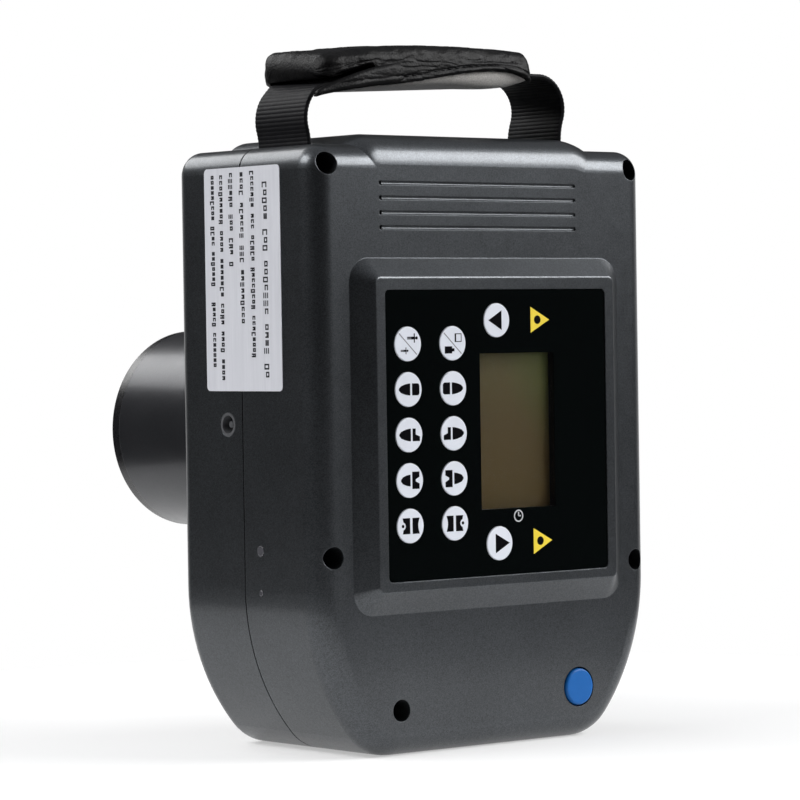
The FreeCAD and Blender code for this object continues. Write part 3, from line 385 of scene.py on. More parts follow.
def metal(name, colour, roughness, stretch=(1, 1, 12), spread=0.15, size=2.0, relief=0.004):
    """Bare metal with brushed or cast marks."""
    made = Finish(name, Metallic=1.0)
    marks = made.cloud(size, 4, stretch)
    made.colour(made.tints(marks, colour, spread))
    made.roughness(made.span(made.cloud(size * 3), roughness - 0.08, roughness + 0.1))
    made.bump(marks, relief)
    return made.material


def clear(name, colour, roughness=0.03, ior=1.49):
    """Clear film or glass with a trace of dust."""
    made = Finish(name, Transmission_Weight=1.0, IOR=ior)
    made.shader.inputs["Base Color"].default_value = (*colour, 1)
    made.roughness(made.ramp(made.cloud(3, 5), [(0.45, roughness), (0.8, roughness + 0.08)]))
    return made.material


def film(name):
    """Glossy black printed film with faint orange peel and specks of dust."""
    made = Finish(name, Specular_IOR_Level=0.35)
    dust = made.ramp(made.cells(1.7), [(0.0, (0.010, 0.011, 0.011)), (0.035, (0.0016, 0.0024, 0.0024))])
    made.colour(dust)
    made.roughness(made.span(made.cloud(7, 3), 0.05, 0.09))
    made.bump(made.cloud(2.4, 1), 0.003)
    return made.material


def display(name):
    """Unlit grey-brown display that is greener towards its upper right corner, with a faint grid of dots."""
    (x0, _, z0), (x1, _, z1) = box_mm("lcd_window")
    made = Finish(name, Specular_IOR_Level=0.35)
    rise = made.span(made.axis("Z"), 0, 1, z0 * MM, z1 * MM)
    across = made.span(made.axis("X"), 0, 1, x0 * MM, x1 * MM)
    browns = [(0.0, (0.165, 0.104, 0.040)), (0.55, (0.180, 0.120, 0.056)), (1.0, (0.205, 0.160, 0.076))]
    base = made.ramp(rise, browns)
    corner = made.maths("MULTIPLY", rise, across)
    base = made.mix(made.ramp(corner, [(0.35, 0.0), (0.95, 0.7)]), base, (0.165, 0.205, 0.060))
    grid = made.maths("MULTIPLY", made.lines(0.4, "X"), made.lines(0.4, "Z"))
    made.colour(made.mix(made.span(grid, 0.0, 0.10), base, (0.03, 0.025, 0.018)))
    made.roughness(made.span(made.cloud(2), 0.3, 0.4))
    return made.material


def sticker(name):
    """Silvery printed label."""
    made = Finish(name, Metallic=0.15)
    streaks = made.cloud(1.2, 4, (1, 1, 0.05))
    made.colour(made.ramp(streaks, [(0.3, (0.66, 0.67, 0.72)), (0.7, (0.72, 0.73, 0.78))]))
    made.roughness(made.span(made.cloud(6), 0.42, 0.52))
    made.bump(made.cloud(9, 2), 0.03)
    return made.material


def leather(name):
    """Black artificial leather with a pebbled grain and a tone that is lighter and darker in random
    blotches.
    """
    made = Finish(name, Specular_IOR_Level=0.13)
    tone = made.ramp(made.cloud(5, 4), [(0.35, (0.002, 0.002, 0.0025)), (0.75, (0.006, 0.0056, 0.0056))])
    made.colour(tone)
    made.roughness(made.span(made.cloud(3.5, 4), 0.36, 0.60))
    made.bump(made.cells(0.75), 0.10, 0.7)
    made.bump(made.cloud(0.3, 2), 0.03, 0.6)
    made.bump(made.cloud(4.0, 3, (0.35, 1, 1)), 0.16, 0.5)
    return made.material


def felt(name):
    """Grey brushed lining."""
    made = Finish(name, Sheen_Weight=0.5, Sheen_Roughness=0.5)
    made.colour(made.ramp(made.cloud(0.5, 5), [(0.3, (0.42, 0.40, 0.38)), (0.7, (0.66, 0.64, 0.61))]))
    made.roughness(made.span(made.cloud(1), 0.8, 0.95))
    made.bump(made.cloud(0.25, 3), 0.12)
    return made.material


def woven(name):
    """Black nylon yarn. The ribs themselves are in the mesh."""
    made = Finish(name, Sheen_Weight=0.02, Sheen_Roughness=0.4, Specular_IOR_Level=0.14)
    blacks = [(0.3, (0.0025, 0.0025, 0.0035)), (0.75, (0.0065, 0.0065, 0.008))]
    made.colour(made.ramp(made.cloud(0.9, 4, (1, 0.3, 1)), blacks))
    made.roughness(made.span(made.cloud(1.5), 0.48, 0.66))
    made.bump(made.cloud(0.12, 3, (1, 0.25, 1)), 0.03)
    return made.material


def circuit(name):
    """Green solder mask with faint tracks."""
    made = Finish(name, Coat_Weight=0.3)
    greens = [(0.05, (0.010, 0.12, 0.045)), (0.12, (0.006, 0.060, 0.026))]
    made.colour(made.ramp(made.cells(1.6, "Distance", "DISTANCE_TO_EDGE"), greens))
    made.roughness(made.span(made.cloud(4), 0.25, 0.4))
    made.bump(made.cells(1.6, "Distance", "DISTANCE_TO_EDGE"), 0.02, 0.5)
    return made.material


WINDOW_LOW, WINDOW_HIGH = box_mm("lcd_window")
OVERLAY_LOW, OVERLAY_HIGH = box_mm("panel_overlay")
LCD_LOW = box_mm("lcd_panel")[0]
# Box round the display recess behind the window, where the casing paint is made near-black as painted shade.
RECESS_SHADE_BOX = (
    (WINDOW_LOW.x - 1, WINDOW_HIGH.x + 1),
    (OVERLAY_HIGH.y - 0.1, LCD_LOW.y + 0.5),
    (WINDOW_LOW.z - 1, WINDOW_HIGH.z + 1),
)
FINISHES = {
    "casing": lacquer("casing_lacquer", (0.066, 0.071, 0.077), 0.35, 0.84, 0.35, 0.30, RECESS_SHADE_BOX),
    "overlay": film("overlay_film"),
    "window": clear("window_film", (0.93, 0.96, 0.93)),
    "lcd": display("display_face"),
    "key": plastic("key_plastic", (0.74, 0.77, 0.84), 0.34, 0.03, Coat_Weight=0.15),
    "button": plastic("button_plastic", (0.006, 0.112, 0.390), 0.40, 0.06, Specular_IOR_Level=0.25),
    "label": sticker("label_sheet"),
    "cone": lacquer("cone_lacquer", (0.034, 0.035, 0.039), 0.15, 0.6, 0.30, 0.16),
    "ring": plastic("ring_plastic", (0.006, 0.006, 0.007), 0.28, 0.1),
    "lead": metal("lead_sheet", (0.23, 0.24, 0.26), 0.5, (1, 1, 1), 0.2, 4.0, 0.03),
    "steel": metal("blackened_steel", (0.16, 0.16, 0.17), 0.34),
    "tank": metal("tank_steel", (0.46, 0.46, 0.45), 0.42, (1, 1, 1), 0.12, 5.0, 0.02),
    "clear_glass": clear("tube_glass", (0.92, 0.97, 0.95), 0.02, 1.5),
    "copper": metal("copper_wire", (0.72, 0.32, 0.17), 0.3, (1, 9, 1)),
    "electrode": metal("tungsten", (0.38, 0.37, 0.36), 0.35),
    "insulator": plastic("insulator_plastic", (0.62, 0.55, 0.40), 0.45),
    "board": circuit("circuit_board"),
    "component": plastic("component_resin", (0.012, 0.012, 0.013), 0.5, 0.3),
    "ferrite": plastic("ferrite_core", (0.035, 0.033, 0.032), 0.62, 0.25, relief=0.03),
    "cell": plastic("cell_wrap", (0.04, 0.20, 0.32), 0.3, 0.05, Coat_Weight=0.2),
    "tray": plastic("tray_plastic", (0.05, 0.05, 0.055), 0.5),
    "jack": plastic("jack_plastic", (0.085, 0.087, 0.092), 0.36, 0.1),
    "light": plastic(
        "light_lens", (0.085, 0.085, 0.095), 0.18, 0.05, Coat_Weight=0.5, Transmission_Weight=0.2,
    ),
    "gasket": plastic("gasket_rubber", (0.010, 0.010, 0.011), 0.7, 0.2, relief=0.02),
    "webbing": woven("webbing_yarn"),
    "grip": leather("grip_leather"),
}
PRINTS = {
    "black": plastic("black_print", (0.002, 0.002, 0.003), 0.7, 0.1, Specular_IOR_Level=0.03),
    "grey": plastic("grey_print", (0.20, 0.20, 0.21), 0.45, 0.1),
    "ink": plastic("label_ink", (0.018, 0.018, 0.022), 0.5, 0.1, Specular_IOR_Level=0.2),
    "yellow": plastic("yellow_print", (0.86, 0.66, 0.045), 0.4, 0.04),
    "white": plastic("white_print", (0.50, 0.51, 0.53), 0.4, 0.04),
}
LINING = felt("grip_lining")

for part in frame["record"]["subparts"]:
    shown = NODES[part["node"]].data.materials
    shown.clear()
    shown.append(FINISHES[part["material_slot"]])


# ---------------------------------------------------------------- mesh helpers


SHARP_ANGLE = math.radians(50)


def new_piece(name, maker, finish, body, shade=True):
    """Object from a bmesh in millimetres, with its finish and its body."""
    bmesh.ops.scale(maker, vec=(MM, MM, MM), verts=maker.verts)
    bmesh.ops.recalc_face_normals(maker, faces=maker.faces)
    mesh = bpy.data.meshes.new(name)
    maker.to_mesh(mesh)
    maker.free()
    if shade:
        mesh.shade_smooth()
        mesh.set_sharp_from_angle(angle=SHARP_ANGLE)
    mesh.materials.append(finish)
    piece = bpy.data.objects.new(name, mesh)
    scene.collection.objects.link(piece)
    if body:
        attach(piece, body)
    return piece


def loft(maker, rings):
    """Closed skin over rings of points, with a fan at each end."""
    made = [[maker.verts.new(point) for point in ring] for ring in rings]
    count = len(rings[0])
    for one, two in zip(made, made[1:]):
        for i in range(count):
            j = (i + 1) % count
            maker.faces.new((one[i], one[j], two[j], two[i]))
    for ring in (made[0], made[-1]):
        middle = sum((vert.co for vert in ring), Vector()) / count
        hub = maker.verts.new(middle)
        for i in range(count):
            maker.faces.new((ring[i], ring[(i + 1) % count], hub))


def disc(cx, cz, radius, start=0.0, end=360.0, steps=20):
    """Points round a circle or along an arc, in the panel's plane."""
    whole = abs(end - start) >= 360
    count = steps if whole else steps + 1
    points = []
    for i in range(count):
        angle = math.radians(start + (end - start) * i / steps)
        points.append((cx + radius * math.cos(angle), cz + radius * math.sin(angle)))
    return points


def bar(x0, x1, z0, z1):
    return [(x0, z0), (x1, z0), (x1, z1), (x0, z1)]


def stroke(x0, z0, x1, z1, width):
    """Straight line of even width between two points."""
    run = Vector((x1 - x0, z1 - z0)).normalized() * width / 2
    return [
        (x0 - run.y, z0 + run.x), (x0 + run.y, z0 - run.x),
        (x1 + run.y, z1 - run.x), (x1 - run.y, z1 + run.x),
    ]


def mirrored(shape):
    return [(-x, z) for x, z in reversed(shape)]


INK_PROUD = 0.04
INK_SUNK = 0.02


def ink_on_panel(name, shapes, face_y, finish, body, centre=(0, 0)):
    """Thin printed shapes on a face that looks along -Y."""
    maker = bmesh.new()
    for shape in shapes:
        rows = []
        for y in (face_y - INK_PROUD, face_y + INK_SUNK):
            rows.append([maker.verts.new((centre[0] + x, y, centre[1] + z)) for x, z in shape])
        front, rear = rows
        maker.faces.new(front)
        maker.faces.new(reversed(rear))
        for i in range(len(shape)):
            j = (i + 1) % len(shape)
            maker.faces.new((front[j], front[i], rear[i], rear[j]))
    return new_piece(name, maker, finish, body, shade=False)


# ---------------------------------------------------------------- key symbols


def figure(cx, cz, length):
    """Plain pictogram of a person lying on one side, head to the right."""
    unit = length / 7
    return [
        disc(cx + 3 * unit, cz, 0.85 * unit, steps=12),
        bar(cx - 0.6 * unit, cx + 2.0 * unit, cz - 0.75 * unit, cz + 0.75 * unit),
        bar(cx + 1.1 * unit, cx + 1.8 * unit, cz - 2.5 * unit, cz + 2.5 * unit),
        bar(cx - 3.6 * unit, cx - 0.6 * unit, cz + 0.12 * unit, cz + 0.7 * unit),
        bar(cx - 3.6 * unit, cx - 0.6 * unit, cz - 0.7 * unit, cz - 0.12 * unit),
    ]


def root(tip_x, wide_x, half, tip_half):
    """Tooth root: wide at the gum line and rounded at its tip."""
    belly = [(tip_x + (wide_x - tip_x) * s, tip_half + (half - tip_half) * math.sin(s * math.pi / 2))
             for s in (0.15, 0.35, 0.6, 0.85)]
    tip = disc(tip_x + tip_half, 0, tip_half, 110, 250, 6)
    upper = [(x, z) for x, z in reversed(belly)]
    lower = [(x, -z) for x, z in belly]
    return [(wide_x, half)] + upper + tip + lower + [(wide_x, -half)]


def crown_rounded(x0, x1, half):
    corner = 0.8
    top = disc(x1 - corner, half - corner, corner, 0, 90, 5)
    bottom = disc(x1 - corner, corner - half, corner, -90, 0, 5)
    return [(x0, -half)] + bottom + top + [(x0, half)]


def crown_stepped(x0, x_short, x_long, half):
    return [(x0, -half), (x_long, -half), (x_long, -0.5), (x_short, 0.1), (x_short, half), (x0, half)]


def crown_notched(x0, x1, half, notch_x, notch_half):
    return [(x0, -half), (x1, -half), (x1, -notch_half), (notch_x, -0.3), (notch_x, 0.3),
            (x1, notch_half), (x1, half), (x0, half)]


def crown_molar(x0, x1, half):
    waist = [(x1 - 0.55 * math.cos(z / half * math.pi / 2), z) for z in (-1.4, -0.7, 0.0, 0.7, 1.4)]
    return [(x0, -half), (x1, -half)] + waist + [(x1, half), (x0, half)]


def root_forked(x0, x1, half, notch):
    """Two roots with a round gap between them."""
    gap = disc(x0, 0, notch, -75, 75, 8)
    return [(x1, half), (x0, half)] + list(reversed(gap)) + [(x0, -half), (x1, -half)]


TOOTH_SYMBOLS = {
    2: [root(-3.8, 0.6, 1.8, 0.7), crown_rounded(1.35, 4.2, 1.8)],
    3: [root(-3.9, 0.6, 1.9, 0.7), crown_stepped(1.3, 2.5, 4.1, 1.9)],
    4: [root(-3.5, 0.2, 1.75, 0.7), crown_notched(0.9, 3.7, 2.6, 2.25, 1.0)],
    5: [root_forked(-3.1, -0.2, 2.4, 1.2), crown_molar(0.75, 3.5, 2.4), disc(-3.0, 0, 0.5, steps=12)],
}
SLASH = stroke(-3.5, 3.2, 3.4, -3.2, 0.28)


def key_symbols():
    """Black symbols for every key by name, in millimetres from the key's centre."""
    symbols = {
        "key_less": [[(-3.4, 0), (1.95, -3.0), (1.95, 3.0)]],
        "key_more": [[(4.0, 0), (-1.7, 3.0), (-1.7, -3.0)]],
        "key_a1": figure(1.7, 1.75, 3.9) + figure(-1.4, -2.05, 2.8),
        "key_b1": [
            bar(0.8, 1.35, 0.35, 2.95), bar(0.8, 3.5, 2.7, 2.95), bar(0.8, 3.5, 0.35, 0.6),
            bar(3.25, 3.5, 0.35, 2.95), bar(-3.2, -0.3, -3.1, -0.95), bar(-0.3, 0.6, -2.5, -1.55),
        ],
    }
    for row, shapes in TOOTH_SYMBOLS.items():
        symbols[f"key_a{row}"] = shapes
        symbols[f"key_b{row}"] = [mirrored(shape) for shape in shapes]
    return symbols


for key, shapes in key_symbols().items():
    low, high = box_mm(key)
    centre = ((low.x + high.x) / 2, (low.z + high.z) / 2)
    ink_on_panel(key.replace("key", "symbol"), shapes, low.y, PRINTS["black"], key, centre)
    if key in ("key_a1", "key_b1"):
        name = key.replace("key", "slash")
        ink_on_panel(name, [SLASH], low.y, PRINTS["grey"], key, centre)


# ---------------------------------------------------------------- print on the overlay and the label

TRIANGLE_X = 13.6
TRIANGLE_REACH = 7.7
TRIANGLE_HALF = 4.0
CLOCK_PLACE = (7.5, 71.0)
CLOCK_R = 1.9
CLOCK_LINE = 0.42


def triangle():
    return [(TRIANGLE_X, -TRIANGLE_HALF), (TRIANGLE_X + TRIANGLE_REACH, 0), (TRIANGLE_X, TRIANGLE_HALF)]


def clock():
    """Round dial with two hands, for the exposure time."""
    rim = []
    steps = 24
    for i in range(steps):
        a, b = (360 * k / steps for k in (i, i + 1))
        inner = CLOCK_R - CLOCK_LINE
        rim.append(disc(0, 0, CLOCK_R, a, b, 1) + list(reversed(disc(0, 0, inner, a, b, 1))))
    return rim + [stroke(0, 0, 0, 1.2, CLOCK_LINE), stroke(0, 0, 0.9, 0, CLOCK_LINE)]


for key in ("key_less", "key_more"):
    low, high = box_mm(key)
    name = "triangle_" + key.split("_")[1]
    height = (low.z + high.z) / 2
    ink_on_panel(name, [triangle()], OVERLAY_LOW.y, PRINTS["yellow"], "unit", (0, height))
    mark = [disc(TRIANGLE_X + TRIANGLE_REACH * 0.36, 0, 1.35, steps=18)]
    mark_y = OVERLAY_LOW.y - INK_PROUD
    ink_on_panel(name + "_mark", mark, mark_y, PRINTS["black"], "unit", (0, height))
ink_on_panel("clock_symbol", clock(), OVERLAY_LOW.y, PRINTS["white"], "unit", CLOCK_PLACE)

LABEL_COLUMNS = (
    (-11.0, 2.3, 2.38, ((173.9, 114.4),)),
    (-4.7, 2.0, 1.62, ((177.4, 119.5),)),
    (0.6, 2.0, 1.85, ((177.2, 130.0),)),
    (5.9, 2.0, 1.80, ((177.2, 148.0),)),
    (10.9, 2.0, 1.70, ((176.7, 113.2),)),
    (15.2, 2.0, 1.55, ((176.7, 141.9), (138.0, 116.5))),
)
GLYPH_FILL = 0.72
GLYPH_LINE = 0.46
WORD_LETTERS = (3, 9)


def placeholder(dice, y, z, height, width):
    """Bars of one filler glyph: an upright box outline, or two level bars, at one of two heights."""
    tall = height * dice.choice((1.0, 0.70, 0.70))
    y0, y1, z0 = y - height / 2, y - height / 2 + tall, z - width
    line = GLYPH_LINE
    ends = [(y0, y1, z - line, z), (y0, y1, z0, z0 + line)]
    joins = [(y0, y0 + line, z0, z), (y1 - line, y1, z0, z)]
    middle = [((y0 + y1 - line) / 2, (y0 + y1 + line) / 2, z0, z)]
    return dice.choice((ends + joins, joins + middle, ends + middle + joins[:1], joins + ends[:1]))


def label_print():
    """Columns of filler glyphs where the real label has words. They say nothing."""
    low, _ = box_mm("rating_label")
    dice = random.Random(7)
    maker = bmesh.new()
    for y, height, pitch, runs in LABEL_COLUMNS:
        for top, bottom in runs:
            z = top
            while z - pitch > bottom:
                for _ in range(dice.randint(*WORD_LETTERS)):
                    if z - pitch < bottom:
                        break
                    for y0, y1, z0, z1 in placeholder(dice, y, z, height, pitch * GLYPH_FILL):
                        corners = (low.x - INK_PROUD, y0, z0), (low.x + INK_SUNK, y1, z1)
                        for vert in bmesh.ops.create_cube(maker, size=1.0)["verts"]:
                            vert.co = Vector([corners[vert.co[i] > 0][i] for i in range(3)])
                    z -= pitch
                z -= pitch
    new_piece("label_print", maker, PRINTS["ink"], "unit", shade=False)


label_print()


# ---------------------------------------------------------------- webbing

STRAP_CENTRE_X = -1.5
STRAP_SPAN = 102.0
STRAP_Y = (-14.3, 10.7)
WEB = 1.6
LOOP_Z = 174.0
LOOP_RISE = 3.0
SHOULDER_Z = 184.6
RIB_PITCH = 1.25
RIB_HEIGHT = 0.17
YARN_PITCH = 0.95
GRIP_SLOPE = 3.1
BAND_SLOPE = 14.0
BAND_ROLL = 6.0
BAND_AHEAD = (13.0, 5.0)
BAND_BEND_R = 30.0
WEB_POINTS = 60
SELVEDGE = 0.955
RIB_POWER = 0.7
YARN_DEPTH = 0.2
LEG_OUT_R = 20.0
LEFT_LEG = {"rise": 0.0, "in_r": 11.5, "lean": 15.9, "end_slope": BAND_SLOPE}
RIGHT_LEG = {"rise": 4.1, "in_r": 10.0, "lean": 19.9, "end_slope": GRIP_SLOPE}


def walk(start, heading, steps, spacing):
    """Points and headings along a path of straight runs and arcs in the XZ plane."""
    x, z = start
    path = [(x, z, heading)]
    for step in steps:
        length = step[1] if step[0] == "go" else step[1] * math.radians(abs(step[2]))
        count = max(1, round(length / spacing))
        for _ in range(count):
            turn = 0.0 if step[0] == "go" else step[2] / count
            middle = math.radians(heading + turn / 2)
            x += length / count * math.cos(middle)
            z += length / count * math.sin(middle)
            heading += turn
            path.append((x, z, heading))
    return path


def webbing(name, path, roll, finish):
    """Ribbed band along a path. roll gives its tilt in degrees at each share of the path."""
    y_middle, half = sum(STRAP_Y) / 2, (STRAP_Y[1] - STRAP_Y[0]) / 2
    maker = bmesh.new()
    rings = []
    travelled = 0.0
    for i, (x, z, heading) in enumerate(path):
        if i:
            travelled += math.hypot(x - path[i - 1][0], z - path[i - 1][1])
        up = math.radians(heading + 90)
        tilt = math.radians(roll(i / (len(path) - 1)))
        normal = Vector((math.cos(up) * math.cos(tilt), -math.sin(tilt), math.sin(up) * math.cos(tilt)))
        side = Vector((math.cos(up) * math.sin(tilt), math.cos(tilt), math.sin(up) * math.sin(tilt)))
        centre = Vector((x, y_middle, z))
        ring = []
        for face in (1, -1):
            for k in range(WEB_POINTS + 1):
                u = (-1 + 2 * k / WEB_POINTS) * face
                place = u * half
                yarn = 0.5 + 0.5 * math.cos(2 * math.pi * place / YARN_PITCH)
                phase = math.pi * travelled / RIB_PITCH
                rib = abs(math.cos(phase)) ** RIB_POWER
                past = max(0.0, abs(u) - SELVEDGE) / (1 - SELVEDGE)
                edge = max(0.0, 1 - past ** 2) ** 0.5
                relief = RIB_HEIGHT * rib * (1 - YARN_DEPTH + YARN_DEPTH * yarn)
                height = (WEB / 2 - RIB_HEIGHT + relief) * edge
                ring.append(centre + side * place + normal * face * height)
        rings.append(ring)
    loft(maker, rings)
    bmesh.ops.remove_doubles(maker, verts=maker.verts, dist=0.001)
    return new_piece(name, maker, finish, None)


def leg_path(side, rise, in_r, lean, end_slope):
    """Middle line of a leg: up out of its slot, outwards, and over into the grip."""
    start = (STRAP_CENTRE_X + side * STRAP_SPAN / 2, LOOP_Z + LOOP_RISE)
    over = lean + 90 + side * end_slope
    steps = [
        ("go", SHOULDER_Z - LOOP_Z - LOOP_RISE + rise),
        ("turn", LEG_OUT_R, -side * lean),
        ("turn", in_r, side * over),
    ]
    return start, steps


SAMPLE = RIB_PITCH / 7
start, steps = leg_path(-1, **LEFT_LEG)
steps += [("go", BAND_AHEAD[0]), ("turn", BAND_BEND_R, GRIP_SLOPE - BAND_SLOPE), ("go", BAND_AHEAD[1])]
left_path = walk(start, 90, steps, SAMPLE)
start, steps = leg_path(1, **RIGHT_LEG)
right_path = walk(start, 90, steps, SAMPLE)


def roll_in(share):
    return BAND_ROLL * smooth(share, 0.45, 0.62)


def roll_out(share):
    return BAND_ROLL * (1 - smooth(share, 0.0, 0.5))


left_leg = webbing("webbing_left", left_path, roll_in, FINISHES["webbing"])
right_leg = webbing("webbing_right", right_path, lambda share: 0.0, FINISHES["webbing"])
left_end, right_end = left_path[-1], right_path[-1]
run_slope = math.degrees(math.atan2(right_end[1] - left_end[1], right_end[0] - left_end[0]))
run_length = math.hypot(right_end[0] - left_end[0], right_end[1] - left_end[1])
run_path = walk(left_end[:2], run_slope, [("go", run_length)], SAMPLE)
run = webbing("webbing_run", run_path, roll_out, FINISHES["webbing"])

for leg, name in ((left_leg, "left"), (right_leg, "right")):
    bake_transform(leg)
    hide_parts(f"strap_leg_{name}")
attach(run, "handle")
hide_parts("grip_webbing")


# ---------------------------------------------------------------- padded grip

GRIP_LEVEL_X = -42.5
GRIP_LEVEL_Z = 204.7
GRIP_RISE = 0.0515
GRIP_Y = (-19.2, 15.6)
GRIP_MIDDLE = sum(GRIP_Y) / 2
GRIP_HALF = (GRIP_Y[1] - GRIP_Y[0]) / 2
SLEEVE_ENDS = (-50.2, 33.9)
SLEEVE_ROUNDS = (5.0, 3.2)
SLEEVE_NARROWS = (3.0, 1.5)
SLEEVE_DROP = 3.4
PLAN_ROUND = 8.0
PLAN_LEAST = 0.74
SHELL = 1.7
TOP_ROUND = 4.0
TOP_CROWN = 0.45
SIDE_INSET = 0.5
SIDE_BELLY = 0.5
SIDE_STEPS = 30
CORNER_STEPS = 10
TOP_STEPS = 24
HEM_BEAD = 0.35
# Stretches along X over which the left bulb fades, the front side joins it, its end closes and its top leans
BULB_FADE = (-33.0, -25.0)
BULB_JOIN = (-31.5, -27.5)
BULB_CLOSE = (-48.8, -47.6)
BULB_LEAN = (-50.0, -28.0)
BULB_TUCK = 2.6
BULB_LAP = 0.21
BULB_SINK = 1.2
LEAN = 1.2

# Heights here are above the level line along the grip
CREST_PEAK = (-20.0, 10.4)
CREST_ENDS = (9.2, 7.4)
HEM_HEIGHTS = (1.2, 4.5)
HEM_RIGHT = -26.0
EDGE_LEFT = (-30.0, -2.0)
EDGE_TOP = (14.0, 1.5)
EDGE_RIGHT_HEIGHT = -2.4
EDGE_CURL = 3.4
BACK_FOOT = -2.0
END_FOOT = (1.0, -2.2)
LIP_ENDS = (-52.6, -13.0)
LIP_TOPS = (-3.7, 5.0)
LIP_FEET = (-4.4, -0.7)
LIP_TOP_POWER = 2.3
LIP_FOOT_POWER = 0.6
LIP_PROUD = 0.25
LIP_INSET = 1.8
LIP_FLUSH_X = -38.0
LIP_SINK = 2.0
LIP_SINKS = (-27.0, -13.5)
LIP_CREASE = 0.6
LIP_BEAD = 0.25
LIP_THICK = 1.4
FELT_ENDS = (-46.5, 33.2)
FELT_RISE_X = -3.0
FELT_BULGE_X = 22.0
FELT_FEET = (-3.2, -1.7, -3.1, -2.4)
FELT_TUCK = 0.9
FELT_FROM_LIP_X = -28.0
FELT_Y = (-12.6, 10.0)
FELT_FRONT_R = 4.6
FELT_BACK_H = -2.0
FELT_BACK_RISE = (3.2, 1.6)
FELT_PINCH = 0.3
FELT_PINCH_R = 6.0
FELT_THICK = 0.8


def share_of(x, start, end):
    """How far x has come from start to end, from 0 to 1."""
    return min(max((x - start) / (end - start), 0.0), 1.0)


def crest(x):
    """Top of the sleeve, highest left of its middle and falling evenly to both ends."""
    side = 0 if x < CREST_PEAK[0] else 1
    reach = share_of(x, CREST_PEAK[0], SLEEVE_ENDS[side])
    return CREST_PEAK[1] - (CREST_PEAK[1] - CREST_ENDS[side]) * reach ** 2


def hem(x):
    """Edge above the slit at the left, where the webbing runs in."""
    rise = math.sin(math.pi / 2 * share_of(x, SLEEVE_ENDS[0], HEM_RIGHT))
    return HEM_HEIGHTS[0] + (HEM_HEIGHTS[1] - HEM_HEIGHTS[0]) * rise


def front_edge(x):
    """Lower edge of the long front side, a flat arch that curls down at its right end."""
    if x < EDGE_TOP[0]:
        return EDGE_LEFT[1] + (EDGE_TOP[1] - EDGE_LEFT[1]) * smooth(x, EDGE_LEFT[0], EDGE_TOP[0])
    curl = share_of(x, EDGE_TOP[0], SLEEVE_ENDS[1]) ** EDGE_CURL
    return EDGE_TOP[1] + (EDGE_RIGHT_HEIGHT - EDGE_TOP[1]) * curl


def lip_top(x):
    """Upper edge of the lower lip, steep at its left end."""
    return LIP_TOPS[1] - (LIP_TOPS[1] - LIP_TOPS[0]) * (1 - share_of(x, *LIP_ENDS)) ** LIP_TOP_POWER


def lip_foot(x):
    """Lower edge of the lower lip."""
    return LIP_FEET[0] + (LIP_FEET[1] - LIP_FEET[0]) * share_of(x, *LIP_ENDS) ** LIP_FOOT_POWER


def felt_foot(x):
    """Lowest line of the lining, which rises to its middle and then hangs in a bulge."""
    left, middle, bulge, right = FELT_FEET
    if x < FELT_RISE_X:
        return middle + (left - middle) * share_of(x, FELT_RISE_X, FELT_ENDS[0]) ** 2
    sag = (bulge - middle) * smooth(x, FELT_RISE_X, FELT_BULGE_X)
    return middle + sag + (right - bulge) * smooth(x, FELT_BULGE_X, FELT_ENDS[1])


def level(x):
    """Height of the strap's straight line under the grip."""
    return GRIP_LEVEL_Z + (x - GRIP_LEVEL_X) * GRIP_RISE


def rounded(inset, reach):
    """Share of the full size at a distance from a rounded end."""
    if inset >= reach:
        return 1.0
    return math.sqrt(max(0.0, 1 - ((reach - inset) / reach) ** 2))


def wrinkle(point, strength):
    """Creases of soft leather, longer along the grip than across it."""
    long_waves = noise.noise(Vector((point.x * 0.07, point.y * 0.25, point.z * 0.35)))
    creases = 1 - abs(noise.noise(Vector((point.x * 0.11 + 9, point.y * 0.3, point.z * 0.55)))) * 6
    short_waves = noise.noise(Vector((point.x * 0.32 + 5, point.y * 0.6, point.z * 0.9)))
    return strength * (0.40 * long_waves + 0.16 * short_waves - 0.22 * max(creases, 0.0))


def shell(maker, outer, inner):
    """Closed skin of a sheet from two equal grids of points, one for each face."""
    grids = [[[maker.verts.new(point) for point in row] for row in grid] for grid in (outer, inner)]
    for grid, flip in zip(grids, (False, True)):
        for one, two in zip(grid, grid[1:]):
            for a, b, c, d in zip(one, one[1:], two[1:], two):
                maker.faces.new((a, d, c, b) if flip else (a, b, c, d))
    top, bottom = grids
    for k in (0, -1):
        for i in range(len(top) - 1):
            maker.faces.new((top[i][k], top[i + 1][k], bottom[i + 1][k], bottom[i][k]))
    for i in (0, -1):
        for k in range(len(top[0]) - 1):
            maker.faces.new((top[i][k + 1], top[i][k], bottom[i][k], bottom[i][k + 1]))


def hem_shape(height, amount):
    """Rolled bead and sewn groove just above an edge."""
    bead = math.exp(-((height - 0.7) / 0.6) ** 2)
    groove = math.exp(-((height - 2.0) / 0.35) ** 2)
    return amount * (bead - 0.7 * groove)


